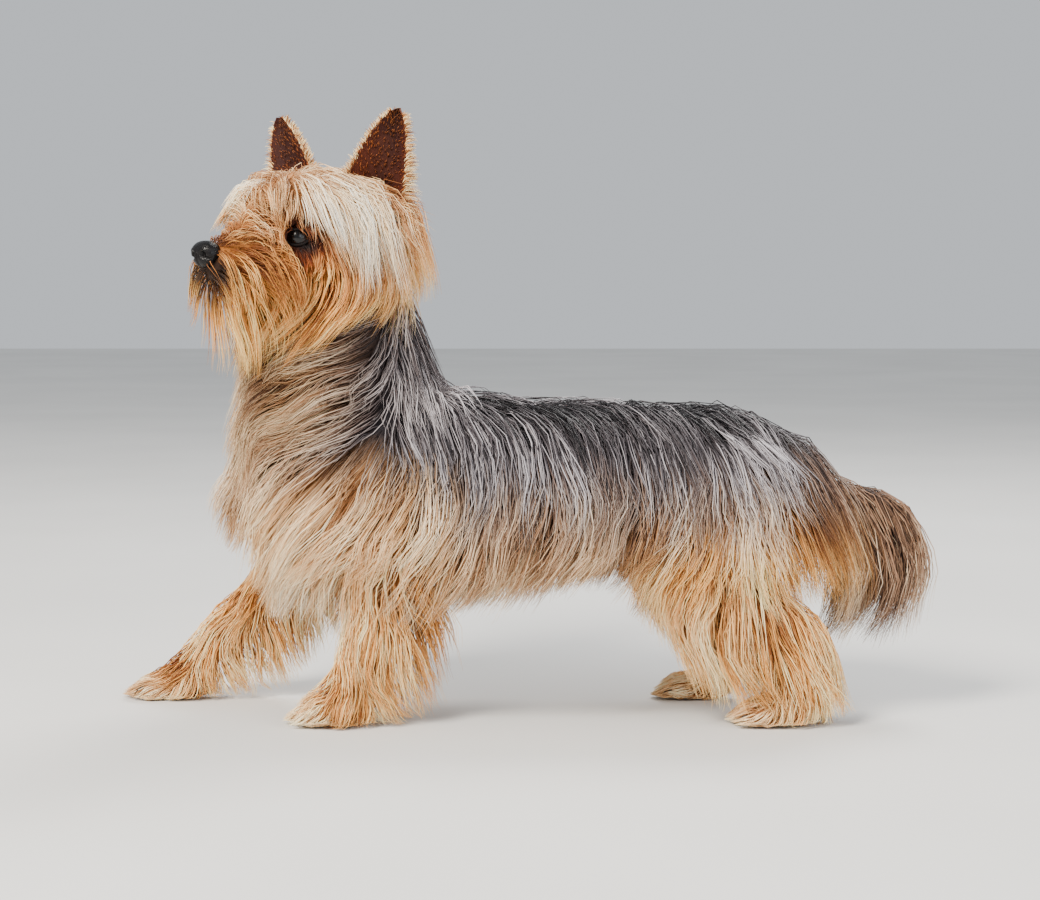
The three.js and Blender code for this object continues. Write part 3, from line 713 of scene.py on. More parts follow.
class Lie:
    """The way the coat lies and how long it is, zone by zone."""

    @staticmethod
    def weights(flesh: Flesh, p: Array, softness: float = 5.0) -> dict[Zone, Array]:
        """Share points out between the zones.

        Args:
            flesh: The forms.
            p: Points on the skin, in mm.
            softness: How wide the zones blend, in mm.

        Returns:
            For each zone, how much it counts at each point.
        """
        distances = {zone: flesh.distance(p, zone) for zone in Zone}
        least = np.min(list(distances.values()), axis=0)
        raw = {zone: np.exp(-(d - least) / softness) for zone, d in distances.items()}
        total = np.sum(list(raw.values()), axis=0)
        return {zone: value / total for zone, value in raw.items()}

    @staticmethod
    def trunk(p: Array) -> Array:
        """Lay the trunk's coat: back from the spine, then down, then forward at the fringe.

        Args:
            p: Points in mm.

        Returns:
            Directions.
        """
        x, y, z = p.T
        side = np.tanh(y / 6)
        height = np.clip((208 - z) / 108, 0, 1)
        rear = smooth(-100, -20, x)
        top = -0.35 + 1.55 * rear
        low = -0.6 + 0.85 * smooth(110, 170, x) - 0.3 * smooth(-40, -100, x)
        lean = top + (low - top) * height**0.6
        chest = smooth(-126, -156, x)
        ahead = -0.2 - 0.55 * smooth(130, 165, z)
        lean = lean * (1 - chest) + ahead * chest
        return columns(lean, side * (0.95 - 0.85 * height), -1 + 0.2 * chest)

    @staticmethod
    def neck(p: Array) -> Array:
        """Lay the neck's coat: sweeping forward on the sides, down the nape and the throat.

        Args:
            p: Points in mm.

        Returns:
            Directions.
        """
        x, y, _ = p.T
        nape = smooth(-92, -62, x)
        throat = smooth(-140, -166, x)
        lean = -1.0 * (1 - nape) + 0.35 * nape + 0.65 * throat
        return columns(lean, np.tanh(y / 8) * 0.3, -0.42 - 0.6 * nape - 0.5 * throat)

    @staticmethod
    def head(p: Array, root: Array, t: float) -> Array:
        """Lay the head's coat: out from the parting, round the cheeks and back from the nose.

        Args:
            p: The points, in mm.
            root: Where each hair is rooted, in mm.
            t: How far along the hairs the points are.

        Returns:
            Directions.
        """
        w = Head.coordinates(p)[2]
        fr, sr, wr = Head.coordinates(root)
        side = np.tanh(sr / 4)
        a = np.abs(sr)
        fall = float(smooth(0.1, 0.75, np.array(t)))
        droop = float(smooth(0.25, 0.95, np.array(t)))
        crown = smooth(6, 20, wr)
        front = smooth(58, 74, fr)
        muzzle = smooth(36, 50, fr)
        cheek_ahead = -0.34 - 0.1 * smooth(0, -30, fr) + 1.25 * smooth(-12, -60, w)
        cheek = columns(cheek_ahead, side * (0.3 - 0.6 * smooth(-26, -60, w)), -1.0)
        top = columns(-0.42 * (1 - fall) - 0.12 * fall, side * (1.0 - 0.85 * fall), -0.1 - 1.0 * fall)
        brow = columns(0.95 - 0.65 * fall, side * (0.55 + 0.2 * fall), 0.15 - 0.9 * fall)
        moustache = columns((-0.8 + 0.75 * droop) * (1 - 0.7 * front),
                            side * (0.7 - 0.6 * droop + 0.3 * front), -0.05 - 0.95 * droop - 0.5 * front)
        bridge = columns(-0.45, side * 0.8, 0.45 - 0.8 * fall)
        chin = columns(0.15 * front - 0.1 - 0.15 * fall, side * 0.12, -1.0)
        way = unit(cheek)
        for share, lie in ((crown, top), (smooth(14, 28, fr) * smooth(0, 10, wr), brow), (muzzle, moustache),
                           (muzzle * smooth(-18, -10, wr) * smooth(14, 6, a), bridge),
                           (smooth(-29, -35, wr) * smooth(24, 38, fr), chin)):
            way = way * (1 - share[:, None]) + unit(lie) * share[:, None]
        return Head.way(way[:, 0], way[:, 1], way[:, 2])

    @staticmethod
    def tail(p: Array) -> Array:
        """Lay the tail's coat: out behind, then down and back in.

        Args:
            p: Points in mm.

        Returns:
            Directions.
        """
        _, y, z = p.T
        return columns(-0.62 + 1.25 * smooth(62, 142, z), np.tanh(y / 4) * 0.1, -1.0)


@dataclass
class Hairs:
    """A set of hairs: paths and what each one carries.

    Attributes:
        paths: Points of every hair, in mm: hairs, steps, 3.
        marks: Rows of markings: hairs, steps, 4.
        strand: Share along, strand tone and clump tone: hairs, steps, 3.
        width: Half width at each point, in mm.
        patch: Each root's place on the unwrapped skin.
        zone: The zone of each hair.
    """

    paths: Array
    marks: Array
    strand: Array
    width: Array
    patch: Array
    zone: Array

    def pick(self, chosen: Array) -> "Hairs":
        """Take some of the hairs."""
        return Hairs(self.paths[chosen], self.marks[chosen], self.strand[chosen],
                     self.width[chosen], self.patch[chosen], self.zone[chosen])


@dataclass
class Growth:
    """How hair is grown over the skin.

    Attributes:
        flesh: The forms.
        air: Distances around the skin.
        eyes: The eyes, which hair hangs clear of.
        seed: The seed of every random choice.
        steps: Points along each hair.
        opening: How wide hair stays clear of an eye's middle, in mm.
        drop: How far below the eye's middle the clear oval stands, in mm.
        squeeze: How much wider than high the clear oval is.
        flank: How far from the body's middle the trunk's coat may stand, in mm.
        press: How much of what stands further out is pressed in.
    """

    flesh: Flesh
    air: Field
    eyes: "Eyes"
    seed: int = 7
    steps: int = 7
    opening: float = 7.0
    drop: float = 0.8
    squeeze: float = 1.35
    flank: float = 70.0
    press: float = 0.62

    def __post_init__(self) -> None:
        """Start the random numbers."""
        self.random = np.random.default_rng(self.seed)

    def traits(self, root: Array, weights: dict[Zone, Array]) -> dict[str, Array]:
        """Give every root its hair's length, depth, wave and width.

        Args:
            root: Roots in mm.
            weights: How much each zone counts.

        Returns:
            Named values, one for each root.
        """
        x, y, z = root.T
        f, s, w = Head.coordinates(root)
        a = np.abs(s)
        muzzle = smooth(38, 50, f)
        top = smooth(-18, -10, w)
        face = smooth(2, 16, f) * smooth(-36, -24, w) * smooth(8, 0, w) * (1 - muzzle) * smooth(6, 14, a)
        brow = smooth(12, 26, f) * smooth(2, 12, w)
        nose = smooth(60, 72, f)
        crown = smooth(6, 20, w)
        below = smooth(-28, -34, w)
        head_length = 66 + 14 * crown - 22 * smooth(-14, -40, f) * crown
        head_length = head_length - 20 * smooth(-14, -34, f) * smooth(12, -6, w)
        head_length = head_length * (1 - brow) + 26 * brow
        head_length = head_length * (1 - muzzle) + (48 - 28 * top + 5 * below) * muzzle
        head_length = head_length * (1 - face) + 17 * face
        head_length = head_length * (1 - 0.45 * nose * (1 - below) - 0.3 * nose * top)
        eye = halo(f, w, (26, -7), 190) * smooth(6, 12, a)
        head_length = head_length * (1 - 0.8 * eye)
        head_depth = 9 + 9 * smooth(0, -30, w) * smooth(30, 10, f) + 4 * muzzle * (1 - top) - 5.5 * face
        head_depth = head_depth + 6 * brow - 3 * nose * (1 - below) - 4 * eye
        belly = smooth(118, 100, z) * smooth(30, 8, np.abs(y))
        chest = smooth(-130, -160, x)
        over_leg = np.maximum(smooth(-30, -60, x), smooth(84, 110, x)) * smooth(160, 130, z)
        hem = np.interp(x, [-90, -55, 80, 110], [54, 56, 90, 62])
        reach = np.maximum(1.12 * (z - hem), 20)
        length = {
            Zone.TRUNK: np.minimum((86 - 20 * belly) * (1 - 0.42 * chest) * (1 - 0.3 * over_leg), reach),
            Zone.NECK: 58,
            Zone.HEAD: head_length,
            Zone.FORELEG_NEAR: 34 + 34 * smooth(20, 70, z),
            Zone.FORELEG_FAR: 28 + 24 * smooth(20, 60, z),
            Zone.HIND_NEAR: 36 + 34 * smooth(25, 80, z),
            Zone.HIND_FAR: 18 + 24 * smooth(40, 95, z),
            Zone.TAIL: 98 - 12 * smooth(225, 250, x),
            Zone.PAW: 14,
        }
        depth = {
            Zone.TRUNK: 13 - 3.5 * smooth(180, 205, z) + 5 * chest,
            Zone.NECK: 15 + 6 * smooth(-140, -165, x),
            Zone.HEAD: head_depth,
            Zone.FORELEG_NEAR: 10.5 + 2 * smooth(60, 20, z),
            Zone.FORELEG_FAR: 9.5,
            Zone.HIND_NEAR: 12,
            Zone.HIND_FAR: 5,
            Zone.TAIL: 5,
            Zone.PAW: 5,
        }
        mix = lambda table: sum(weights[zone] * table[zone] for zone in Zone)
        coarse = dict.fromkeys(Zone, 0.37) | {Zone.PAW: 0.3, Zone.HEAD: 0.27, Zone.TAIL: 0.38}
        wave = dict.fromkeys(Zone, 3.3) | {Zone.FORELEG_NEAR: 4.0, Zone.FORELEG_FAR: 3.0,
                                           Zone.HIND_NEAR: 3.2, Zone.PAW: 0.5, Zone.HEAD: 1.8}
        return {"length": mix(length), "depth": mix(depth), "width": mix(coarse), "wave": mix(wave)}

    def way(self, p: Array, root: Array, weights: dict[Zone, Array], t: float) -> Array:
        """Blend the zones' lies at points along the hairs.

        Args:
            p: The points, in mm.
            root: Where each hair is rooted, in mm.
            weights: How much each zone counts at the root.
            t: How far along the hairs the points are.

        Returns:
            Directions.
        """
        lies = {zone: leg.lie(p) for zone, leg in LEGS.items()}
        lies |= {Zone.TRUNK: Lie.trunk(p), Zone.NECK: Lie.neck(p), Zone.HEAD: Lie.head(p, root, t),
                 Zone.TAIL: Lie.tail(p), Zone.PAW: np.array([[-1.0, 0.0, -0.45]])}
        return unit(sum(weights[zone][:, None] * unit(lies[zone]) for zone in Zone))

    def grow(self, root: Array, normal: Array) -> Hairs:
        """Grow one hair from every root.

        Args:
            root: Roots in mm.
            normal: The skin's normals there.

        Returns:
            The hairs.
        """
        count = len(root)
        rnd = self.random
        weights = Lie.weights(self.flesh, root)
        traits = self.traits(root, weights)
        length = traits["length"] * (1 + (0.3 + 0.25 * weights[Zone.HEAD]) * (rnd.random(count) - 0.6))
        layer = 0.15 + 0.85 * rnd.random(count)
        depth = traits["depth"] * layer
        jitter = rnd.normal(0, 0.085, (count, 3))
        paths = np.empty((count, self.steps, 3))
        p = root - 1.2 * normal
        paths[:, 0] = p
        p = root + 0.3 * normal
        shares = np.linspace(0, 1, self.steps)
        for k in range(1, self.steps):
            t = shares[k]
            out = self.air.away(p)
            gap = self.air.at(p)
            way = self.way(p, root, weights, t) + jitter
            lift = np.clip((depth * min(1.0, 2.2 * t) - gap) / 10, 0, 0.9) * (1 - t)
            into = np.minimum((way * out).sum(1), 0) * smooth(16, 4, gap)
            way = unit(way - out * into[:, None] + out * lift[:, None])
            p = p + way * (length / (self.steps - 1))[:, None]
            want = 0.6 + depth * (min(1.0, 2.0 * t) * (1 - 0.45 * t * t))
            for _ in range(2):
                lack = np.maximum(want - self.air.at(p), 0)
                p = p + self.air.away(p) * np.minimum(lack, 6)[:, None]
            p = self.clear_eyes(p)
            p[:, 2] = np.maximum(p[:, 2], 1.2 + 2.5 * layer)
            paths[:, k] = p
        paths, tones = self.clump(paths, root, traits, shares)
        over = np.maximum(np.abs(paths[:, :, 1]) - self.flank, 0) * self.press * weights[Zone.TRUNK][:, None]
        paths[:, :, 1] -= np.sign(paths[:, :, 1]) * over
        zone = np.argmax([weights[z] for z in Zone], axis=0)
        stray = (tones - 0.5) * 34
        marks = np.stack([Markings.at(root, paths[:, k], weights, stray) for k in range(self.steps)], axis=1)
        strand = np.empty((count, self.steps, 3))
        strand[:, :, 0] = shares
        strand[:, :, 1] = rnd.random(count)[:, None]
        strand[:, :, 2] = tones[:, None]
        taper = 0.55 + 0.45 * smooth(0, 0.25, shares) - 0.9 * smooth(0.45, 1.0, shares)
        width = traits["width"][:, None] * (0.75 + 0.5 * rnd.random(count))[:, None] * np.maximum(taper, 0.06)
        patch = self.unroll(root, zone)
        return Hairs(paths, marks, strand, width, patch, zone)

    def clump(self, paths: Array, root: Array, traits: dict[str, Array],
              shares: Array) -> tuple[Array, Array]:
        """Gather hairs into locks within larger locks, with a wave along each.

        Args:
            paths: The hairs' paths.
            root: Their roots.
            traits: Their traits.
            shares: Shares along a hair.

        Returns:
            The gathered paths, and a tone for each hair's lock.
        """
        count = len(root)
        rnd = self.random
        tones = np.zeros(count)
        middle = 0.5 * root + 0.5 * paths[:, self.steps // 2]
        for every, pull, bend, tint in ((100, 0.68, 1.0, 0.45), (18, 0.5, 0.4, 0.35)):
            centres = rnd.choice(count, max(1, count // every), replace=False)
            tree = kdtree.KDTree(len(centres))
            for number, c in enumerate(centres):
                tree.insert(Vector(middle[c]), number)
            tree.balance()
            owner = np.array([tree.find(Vector(r))[1] for r in middle])
            lead = paths[centres][owner]
            near = np.exp(-np.linalg.norm(root - root[centres][owner], axis=1) / 22)
            strength = pull * near * (0.7 + 0.3 * rnd.random(count))
            share = strength[:, None] * shares[None, :] ** 1.1
            paths = paths + (lead - paths) * share[:, :, None]
            phase = rnd.random(len(centres))[owner] * 2 * np.pi
            pace = (0.75 + 0.7 * rnd.random(len(centres)))[owner]
            length = traits["length"]
            swing = (traits["wave"] * bend)[:, None] * shares[None, :] * np.sin(
                phase[:, None] + shares[None, :] * (length * pace / 8.5)[:, None])
            along = unit(np.gradient(paths, axis=1))
            out = np.repeat(self.air.away(root)[:, None], self.steps, axis=1)
            paths = paths + unit(np.cross(along, out)) * swing[:, :, None]
            tones += tint * rnd.random(len(centres))[owner]
        tones += 0.2 * rnd.random(count)
        for k in range(1, self.steps):
            p = paths[:, k]
            lack = np.maximum(0.5 + 2.0 * shares[k] - self.air.at(p), 0)
            p = p + self.air.away(p) * lack[:, None]
            p = self.clear_eyes(p)
            p[:, 2] = np.maximum(p[:, 2], 1.2)
            paths[:, k] = p
        return paths, tones

    def before_eye(self, p: Array, side: int) -> tuple[Array, Array, Array]:
        """Measure points from the middle of the clear oval before an eye.

        Args:
            p: Points in mm.
            side: Which eye.

        Returns:
            How far ahead of it they stand, how far aside as vectors, and how far aside in the oval.
        """
        centre, look, flat, rise = self.eyes.frame(side)
        off = p - centre + self.drop * Head.up
        ahead = off @ look
        aside = off - ahead[..., None] * look
        return ahead, aside, np.hypot(aside @ flat, self.squeeze * (aside @ rise))

    def clear_eyes(self, p: Array) -> Array:
        """Push points aside that would hang in front of an eye.

        Args:
            p: Points in mm.

        Returns:
            The points, moved.
        """
        for side in BOTH:
            ahead, aside, r = self.before_eye(p, side)
            lack = np.where(ahead > 0, np.maximum(self.opening - r, 0), 0)
            p = p + aside * (lack / np.maximum(r, 0.5))[:, None]
        return p

    def crosses_eye(self, paths: Array) -> Array:
        """Find hairs that would cross the middle of an eye.

        Args:
            paths: The hairs' paths.

        Returns:
            For each hair, whether it crosses.
        """
        middles = 0.5 * (paths[:, 1:] + paths[:, :-1])
        crossing = np.zeros(len(paths), dtype=bool)
        for side in BOTH:
            ahead, _, r = self.before_eye(middles, side)
            crossing |= ((ahead > 0) & (r < self.opening - 0.8)).any(1)
        return crossing

    def unroll(self, root: Array, zone: Array) -> Array:
        """Place every root on the unwrap of its own part of the skin.

        Args:
            root: Roots in mm.
            zone: The zone of each root.

        Returns:
            Places from 0 to 1.
        """
        patch = np.zeros((len(root), 2))
        for z in Zone:
            chosen = zone == z.value
            if chosen.any():
                patch[chosen] = self.flesh.zones[z][0].unroll(root[chosen])
        return np.clip(patch, 0, 1) * 0.985 + 0.005


def sample_surface(points: Array, quads: Array, count: int, weight: Callable[[Array], Array],
                   rnd: np.random.Generator) -> Array:
    """Scatter roots over quads.

    Args:
        points: Vertices.
        quads: Faces.
        count: How many roots.
        weight: Relative density at a point.
        rnd: Random numbers.

    Returns:
        Root positions.
    """
    corners = points[quads]
    area = np.linalg.norm(np.cross(corners[:, 2] - corners[:, 0], corners[:, 3] - corners[:, 1]), axis=1) / 2
    share = area * weight(corners.mean(1))
    face = rnd.choice(len(quads), count, p=share / share.sum())
    a, b = rnd.random((2, count, 1))
    c = corners[face]
    return (c[:, 0] * (1 - a) * (1 - b) + c[:, 1] * a * (1 - b) + c[:, 2] * a * b + c[:, 3] * (1 - a) * b)


class Nodes:
    """A short way to write node trees."""

    def __init__(self, tree: bpy.types.NodeTree) -> None:
        """Keep the tree."""
        self.tree = tree

    def add(self, kind: str, inputs: dict | None = None, **settings: object) -> bpy.types.Node:
        """Add a node.

        Args:
            kind: The node's type.
            inputs: Values or output sockets for inputs, by name or number.
            settings: The node's own properties.

        Returns:
            The node.
        """
        node = self.tree.nodes.new(kind)
        for key, value in settings.items():
            setattr(node, key, value)
        return self.feed(node, inputs or {})

    def feed(self, node: bpy.types.Node, inputs: dict) -> bpy.types.Node:
        """Set or link some of a node's inputs.

        Args:
            node: The node.
            inputs: Values or output sockets, by the input's name or number.

        Returns:
            The node.
        """
        for key, value in inputs.items():
            socket = node.inputs[key]
            if isinstance(value, bpy.types.NodeSocket):
                self.tree.links.new(value, socket)
            else:
                socket.default_value = value
        return node

    def maths(self, operation: str, a: object, b: object = 0.0, clamp: bool = False) -> bpy.types.NodeSocket:
        """Add a Math node and give its output."""
        return self.add("ShaderNodeMath", {0: a, 1: b}, operation=operation, use_clamp=clamp).outputs[0]

    def blend(self, share: object, a: object, b: object) -> bpy.types.NodeSocket:
        """Mix two colours and give the result."""
        return self.add("ShaderNodeMix", {0: share, 6: a, 7: b}, data_type="RGBA").outputs[2]

    def stretch(self, value: object, *limits: float) -> bpy.types.NodeSocket:
        """Map a value from one range to another, by default to 0 to 1."""
        ends = {number: limit for number, limit in enumerate(limits, 1)}
        return self.add("ShaderNodeMapRange", {0: value, **ends}).outputs[0]

    def place(self) -> bpy.types.NodeSocket:
        """Read the object's own coordinates."""
        return self.add("ShaderNodeTexCoord").outputs["Object"]

    def noise(self, scale: float) -> bpy.types.NodeSocket:
        """Add noise over the object's own coordinates."""
        inputs = {"Vector": self.place(), "Scale": scale, "Detail": 2.0}
        return self.add("ShaderNodeTexNoise", inputs).outputs[0]

    def ramp(self, share: object, stops: Sequence[tuple[float, tuple[float, ...]]]) -> bpy.types.NodeSocket:
        """Map a value to a colour through a ramp.

        Args:
            share: The value.
            stops: Places on the ramp and their colours.

        Returns:
            The colour.
        """
        node = self.add("ShaderNodeValToRGB", {0: share})
        line = node.color_ramp
        while len(line.elements) < len(stops):
            line.elements.new(0.5)
        for element, (place, colour) in zip(line.elements, stops):
            element.position = place
            element.color = colour
        return node.outputs[0]

    def socket(self, name: str, kind: str, way: str = "INPUT") -> bpy.types.NodeTreeInterfaceSocket:
        """Give a node group a named input or output."""
        return self.tree.interface.new_socket(name, in_out=way, socket_type=f"NodeSocket{kind}")


def rgb(red: int, green: int, blue: int) -> tuple[float, float, float, float]:
    """Turn screen values into a linear colour."""
    line = lambda c: (c / 255 / 12.92) if c / 255 <= 0.04045 else ((c / 255 + 0.055) / 1.055) ** 2.4
    return (line(red), line(green), line(blue), 1.0)


@dataclass(frozen=True)
class CoatColour:
    """The coat's colours, each as shaded, middle and lit hair.

    Attributes:
        gold: The head, legs and chest where no marking covers them.
        taupe: Half way from gold to steel.
        steel: The back and flanks.
        silver: The brow, the fringe and the paws.
        rust: Around the eyes, on the ears and on the far hind leg.
        black_and_shade: The lips, the eyes' rims and the nape, all near-black, and painted shade in the eye
            sockets and under the head.
    """

    gold: tuple = (rgb(128, 68, 20), rgb(246, 174, 86), rgb(255, 230, 156))
    taupe: tuple = (rgb(54, 33, 22), rgb(166, 124, 92), rgb(250, 222, 184))
    steel: tuple = (rgb(18, 15, 19), rgb(78, 72, 76), rgb(176, 170, 174))
    silver: tuple = (rgb(184, 132, 84), rgb(253, 228, 186), rgb(255, 253, 242))
    rust: tuple = (rgb(66, 21, 8), rgb(192, 92, 34), rgb(246, 166, 86))
    black_and_shade: tuple = (rgb(8, 5, 5), rgb(36, 22, 18), rgb(96, 60, 44))

    def group(self) -> bpy.types.NodeTree:
        """Build the shared node group that turns markings and tone into a colour.

        Returns:
            The group.
        """
        tree = bpy.data.node_groups.new("Coat colour", "ShaderNodeTree")
        n = Nodes(tree)
        for name, kind in (("Marks", "Color"), ("Black_and_shade", "Float"), ("Tone", "Float"), ("Along", "Float")):
            n.socket(name, kind)
        n.socket("Color", "Color", "OUTPUT")
        given = n.add("NodeGroupInput").outputs
        marks = n.add("ShaderNodeSeparateColor", {0: given["Marks"]}).outputs
        drift = n.noise(22.0)
        tone = n.maths("ADD", given["Tone"], n.maths("MULTIPLY", n.maths("SUBTRACT", drift, 0.5), 0.3))
        tone = n.maths("ADD", n.maths("MULTIPLY", n.maths("SUBTRACT", tone, 0.53), 1.75), 0.5)
        # Painted shade at the roots, where the coat shades itself, partly also the hair's own lighter tips:
        # tone falls toward each hair's root and rises a little toward its tip.
        tone = n.maths("ADD", tone, n.stretch(given["Along"], 0.0, 0.55, -0.42, 0.08), clamp=True)
        stops = lambda three: [(0.05, three[0]), (0.5, three[1]), (0.95, three[2])]
        shade = {name: n.ramp(tone, stops(getattr(self, name)))
                 for name in ("gold", "taupe", "steel", "silver", "rust", "black_and_shade")}
        colour = n.blend(n.stretch(marks[0], 0.05, 0.5), shade["gold"], shade["taupe"])
        colour = n.blend(n.stretch(marks[0], 0.5, 0.92), colour, shade["steel"])
        colour = n.blend(marks[2], colour, shade["rust"])
        colour = n.blend(marks[1], colour, shade["silver"])
        colour = n.blend(given["Black_and_shade"], colour, shade["black_and_shade"])
        n.add("NodeGroupOutput", {"Color": colour})
        return tree


class Finishes:
    """Every material of the model."""

    def __init__(self) -> None:
        """Build the shared group and the materials."""
        self.colour = CoatColour().group()
        self.coat = self.hair("Coat", 0.5, False)
        self.skin = self.hair("Skin", 0.7, True)
        self.eye = self.make_eye()
        self.nose = self.make_nose()
        self.claw = self.cloudy("Claw", 700.0, 0.38, rgb(30, 22, 18), rgb(78, 60, 48))
        self.floor = self.cloudy("Floor", 3.0, 0.8, rgb(214, 213, 210), rgb(222, 221, 218))

    def start(self, name: str) -> tuple[bpy.types.Material, Nodes, bpy.types.Node]:
        """Start a material with its own Principled BSDF.

        Args:
            name: The material's name.

        Returns:
            The material, its nodes and its shader.
        """
        material = bpy.data.materials.new(name)
        material.use_nodes = True
        n = Nodes(material.node_tree)
        return material, n, material.node_tree.nodes["Principled BSDF"]

    def hair(self, name: str, roughness: float, bare: bool) -> bpy.types.Material:
        """Make the coat's or the skin's material.

        Args:
            name: The material's name.
            roughness: Its roughness.
            bare: Whether it is the skin under the coat.

        Returns:
            The material.
        """
        material, n, shader = self.start(name)
        marks = n.add("ShaderNodeAttribute", attribute_name="marks").outputs
        strand = n.add("ShaderNodeAttribute", attribute_name="strand").outputs["Vector"]
        parts = n.add("ShaderNodeSeparateXYZ", {0: strand}).outputs
        tone = n.maths("ADD", n.maths("MULTIPLY", parts[1], 0.34), n.maths("MULTIPLY", parts[2], 0.72))
        group = n.add("ShaderNodeGroup", {"Marks": marks["Color"], "Black_and_shade": marks["Alpha"], "Tone": tone,
                                          "Along": parts[0]}, node_tree=self.colour)
        n.feed(shader, {"Base Color": group.outputs["Color"], "Roughness": roughness,
                        "Specular IOR Level": 0.2 if bare else 0.3})
        if bare:
            drawn = n.add("ShaderNodeMapping", {"Vector": n.place(), "Scale": (900, 900, 160)}).outputs[0]
            grain = n.add("ShaderNodeTexNoise", {"Vector": drawn, "Scale": 1.0, "Detail": 3.0}).outputs[0]
            bump = n.add("ShaderNodeBump", {"Height": grain, "Strength": 0.6, "Distance": 0.0008})
            n.feed(shader, {"Normal": bump.outputs[0]})
        return material

    def make_eye(self) -> bpy.types.Material:
        """Make the wet dark eye.

        Returns:
            The material.
        """
        material, n, shader = self.start("Eye")
        ring = n.add("ShaderNodeAttribute", attribute_name="ring").outputs["Fac"]
        moved = n.maths("ADD", ring, n.maths("MULTIPLY", n.maths("SUBTRACT", n.noise(900.0), 0.5), 0.06))
        colour = n.ramp(moved, [(0.0, rgb(3, 2, 2)), (0.3, rgb(4, 3, 3)), (0.36, rgb(30, 15, 8)),
                                (0.5, rgb(24, 12, 7)), (0.6, rgb(6, 4, 4)), (1.0, rgb(30, 20, 18))])
        n.feed(shader, {"Base Color": colour, "Roughness": 0.3, "Specular IOR Level": 0.2,
                        "Coat Weight": 0.35, "Coat Roughness": 0.03})
        return material

    def make_nose(self) -> bpy.types.Material:
        """Make the moist pebbled nose.

        Returns:
            The material.
        """
        material, n, shader = self.start("Nose")
        cells = n.add("ShaderNodeTexVoronoi", {"Vector": n.place(), "Scale": 1100.0}, feature="F1").outputs[0]
        soft = n.noise(180.0)
        bump = n.add("ShaderNodeBump", {"Height": cells, "Strength": 0.5, "Distance": 0.0004}, invert=True)
        n.feed(shader, {"Base Color": n.ramp(soft, [(0.3, rgb(3, 3, 3)), (0.7, rgb(14, 10, 11))]),
                        "Normal": bump.outputs[0], "Specular IOR Level": 0.2,
                        "Roughness": n.stretch(soft, 0.3, 0.7, 0.24, 0.4)})
        return material

    def cloudy(self, name: str, scale: float, roughness: float,
               *colours: tuple[float, ...]) -> bpy.types.Material:
        """Make a material of two colours that drift into each other.

        Args:
            name: The material's name.
            scale: How fine the drift is.
            roughness: Its roughness.
            *colours: The two colours.

        Returns:
            The material.
        """
        material, n, shader = self.start(name)
        drift = n.ramp(n.noise(scale), [(0.3, colours[0]), (0.7, colours[1])])
        n.feed(shader, {"Base Color": drift, "Roughness": roughness})
        return material


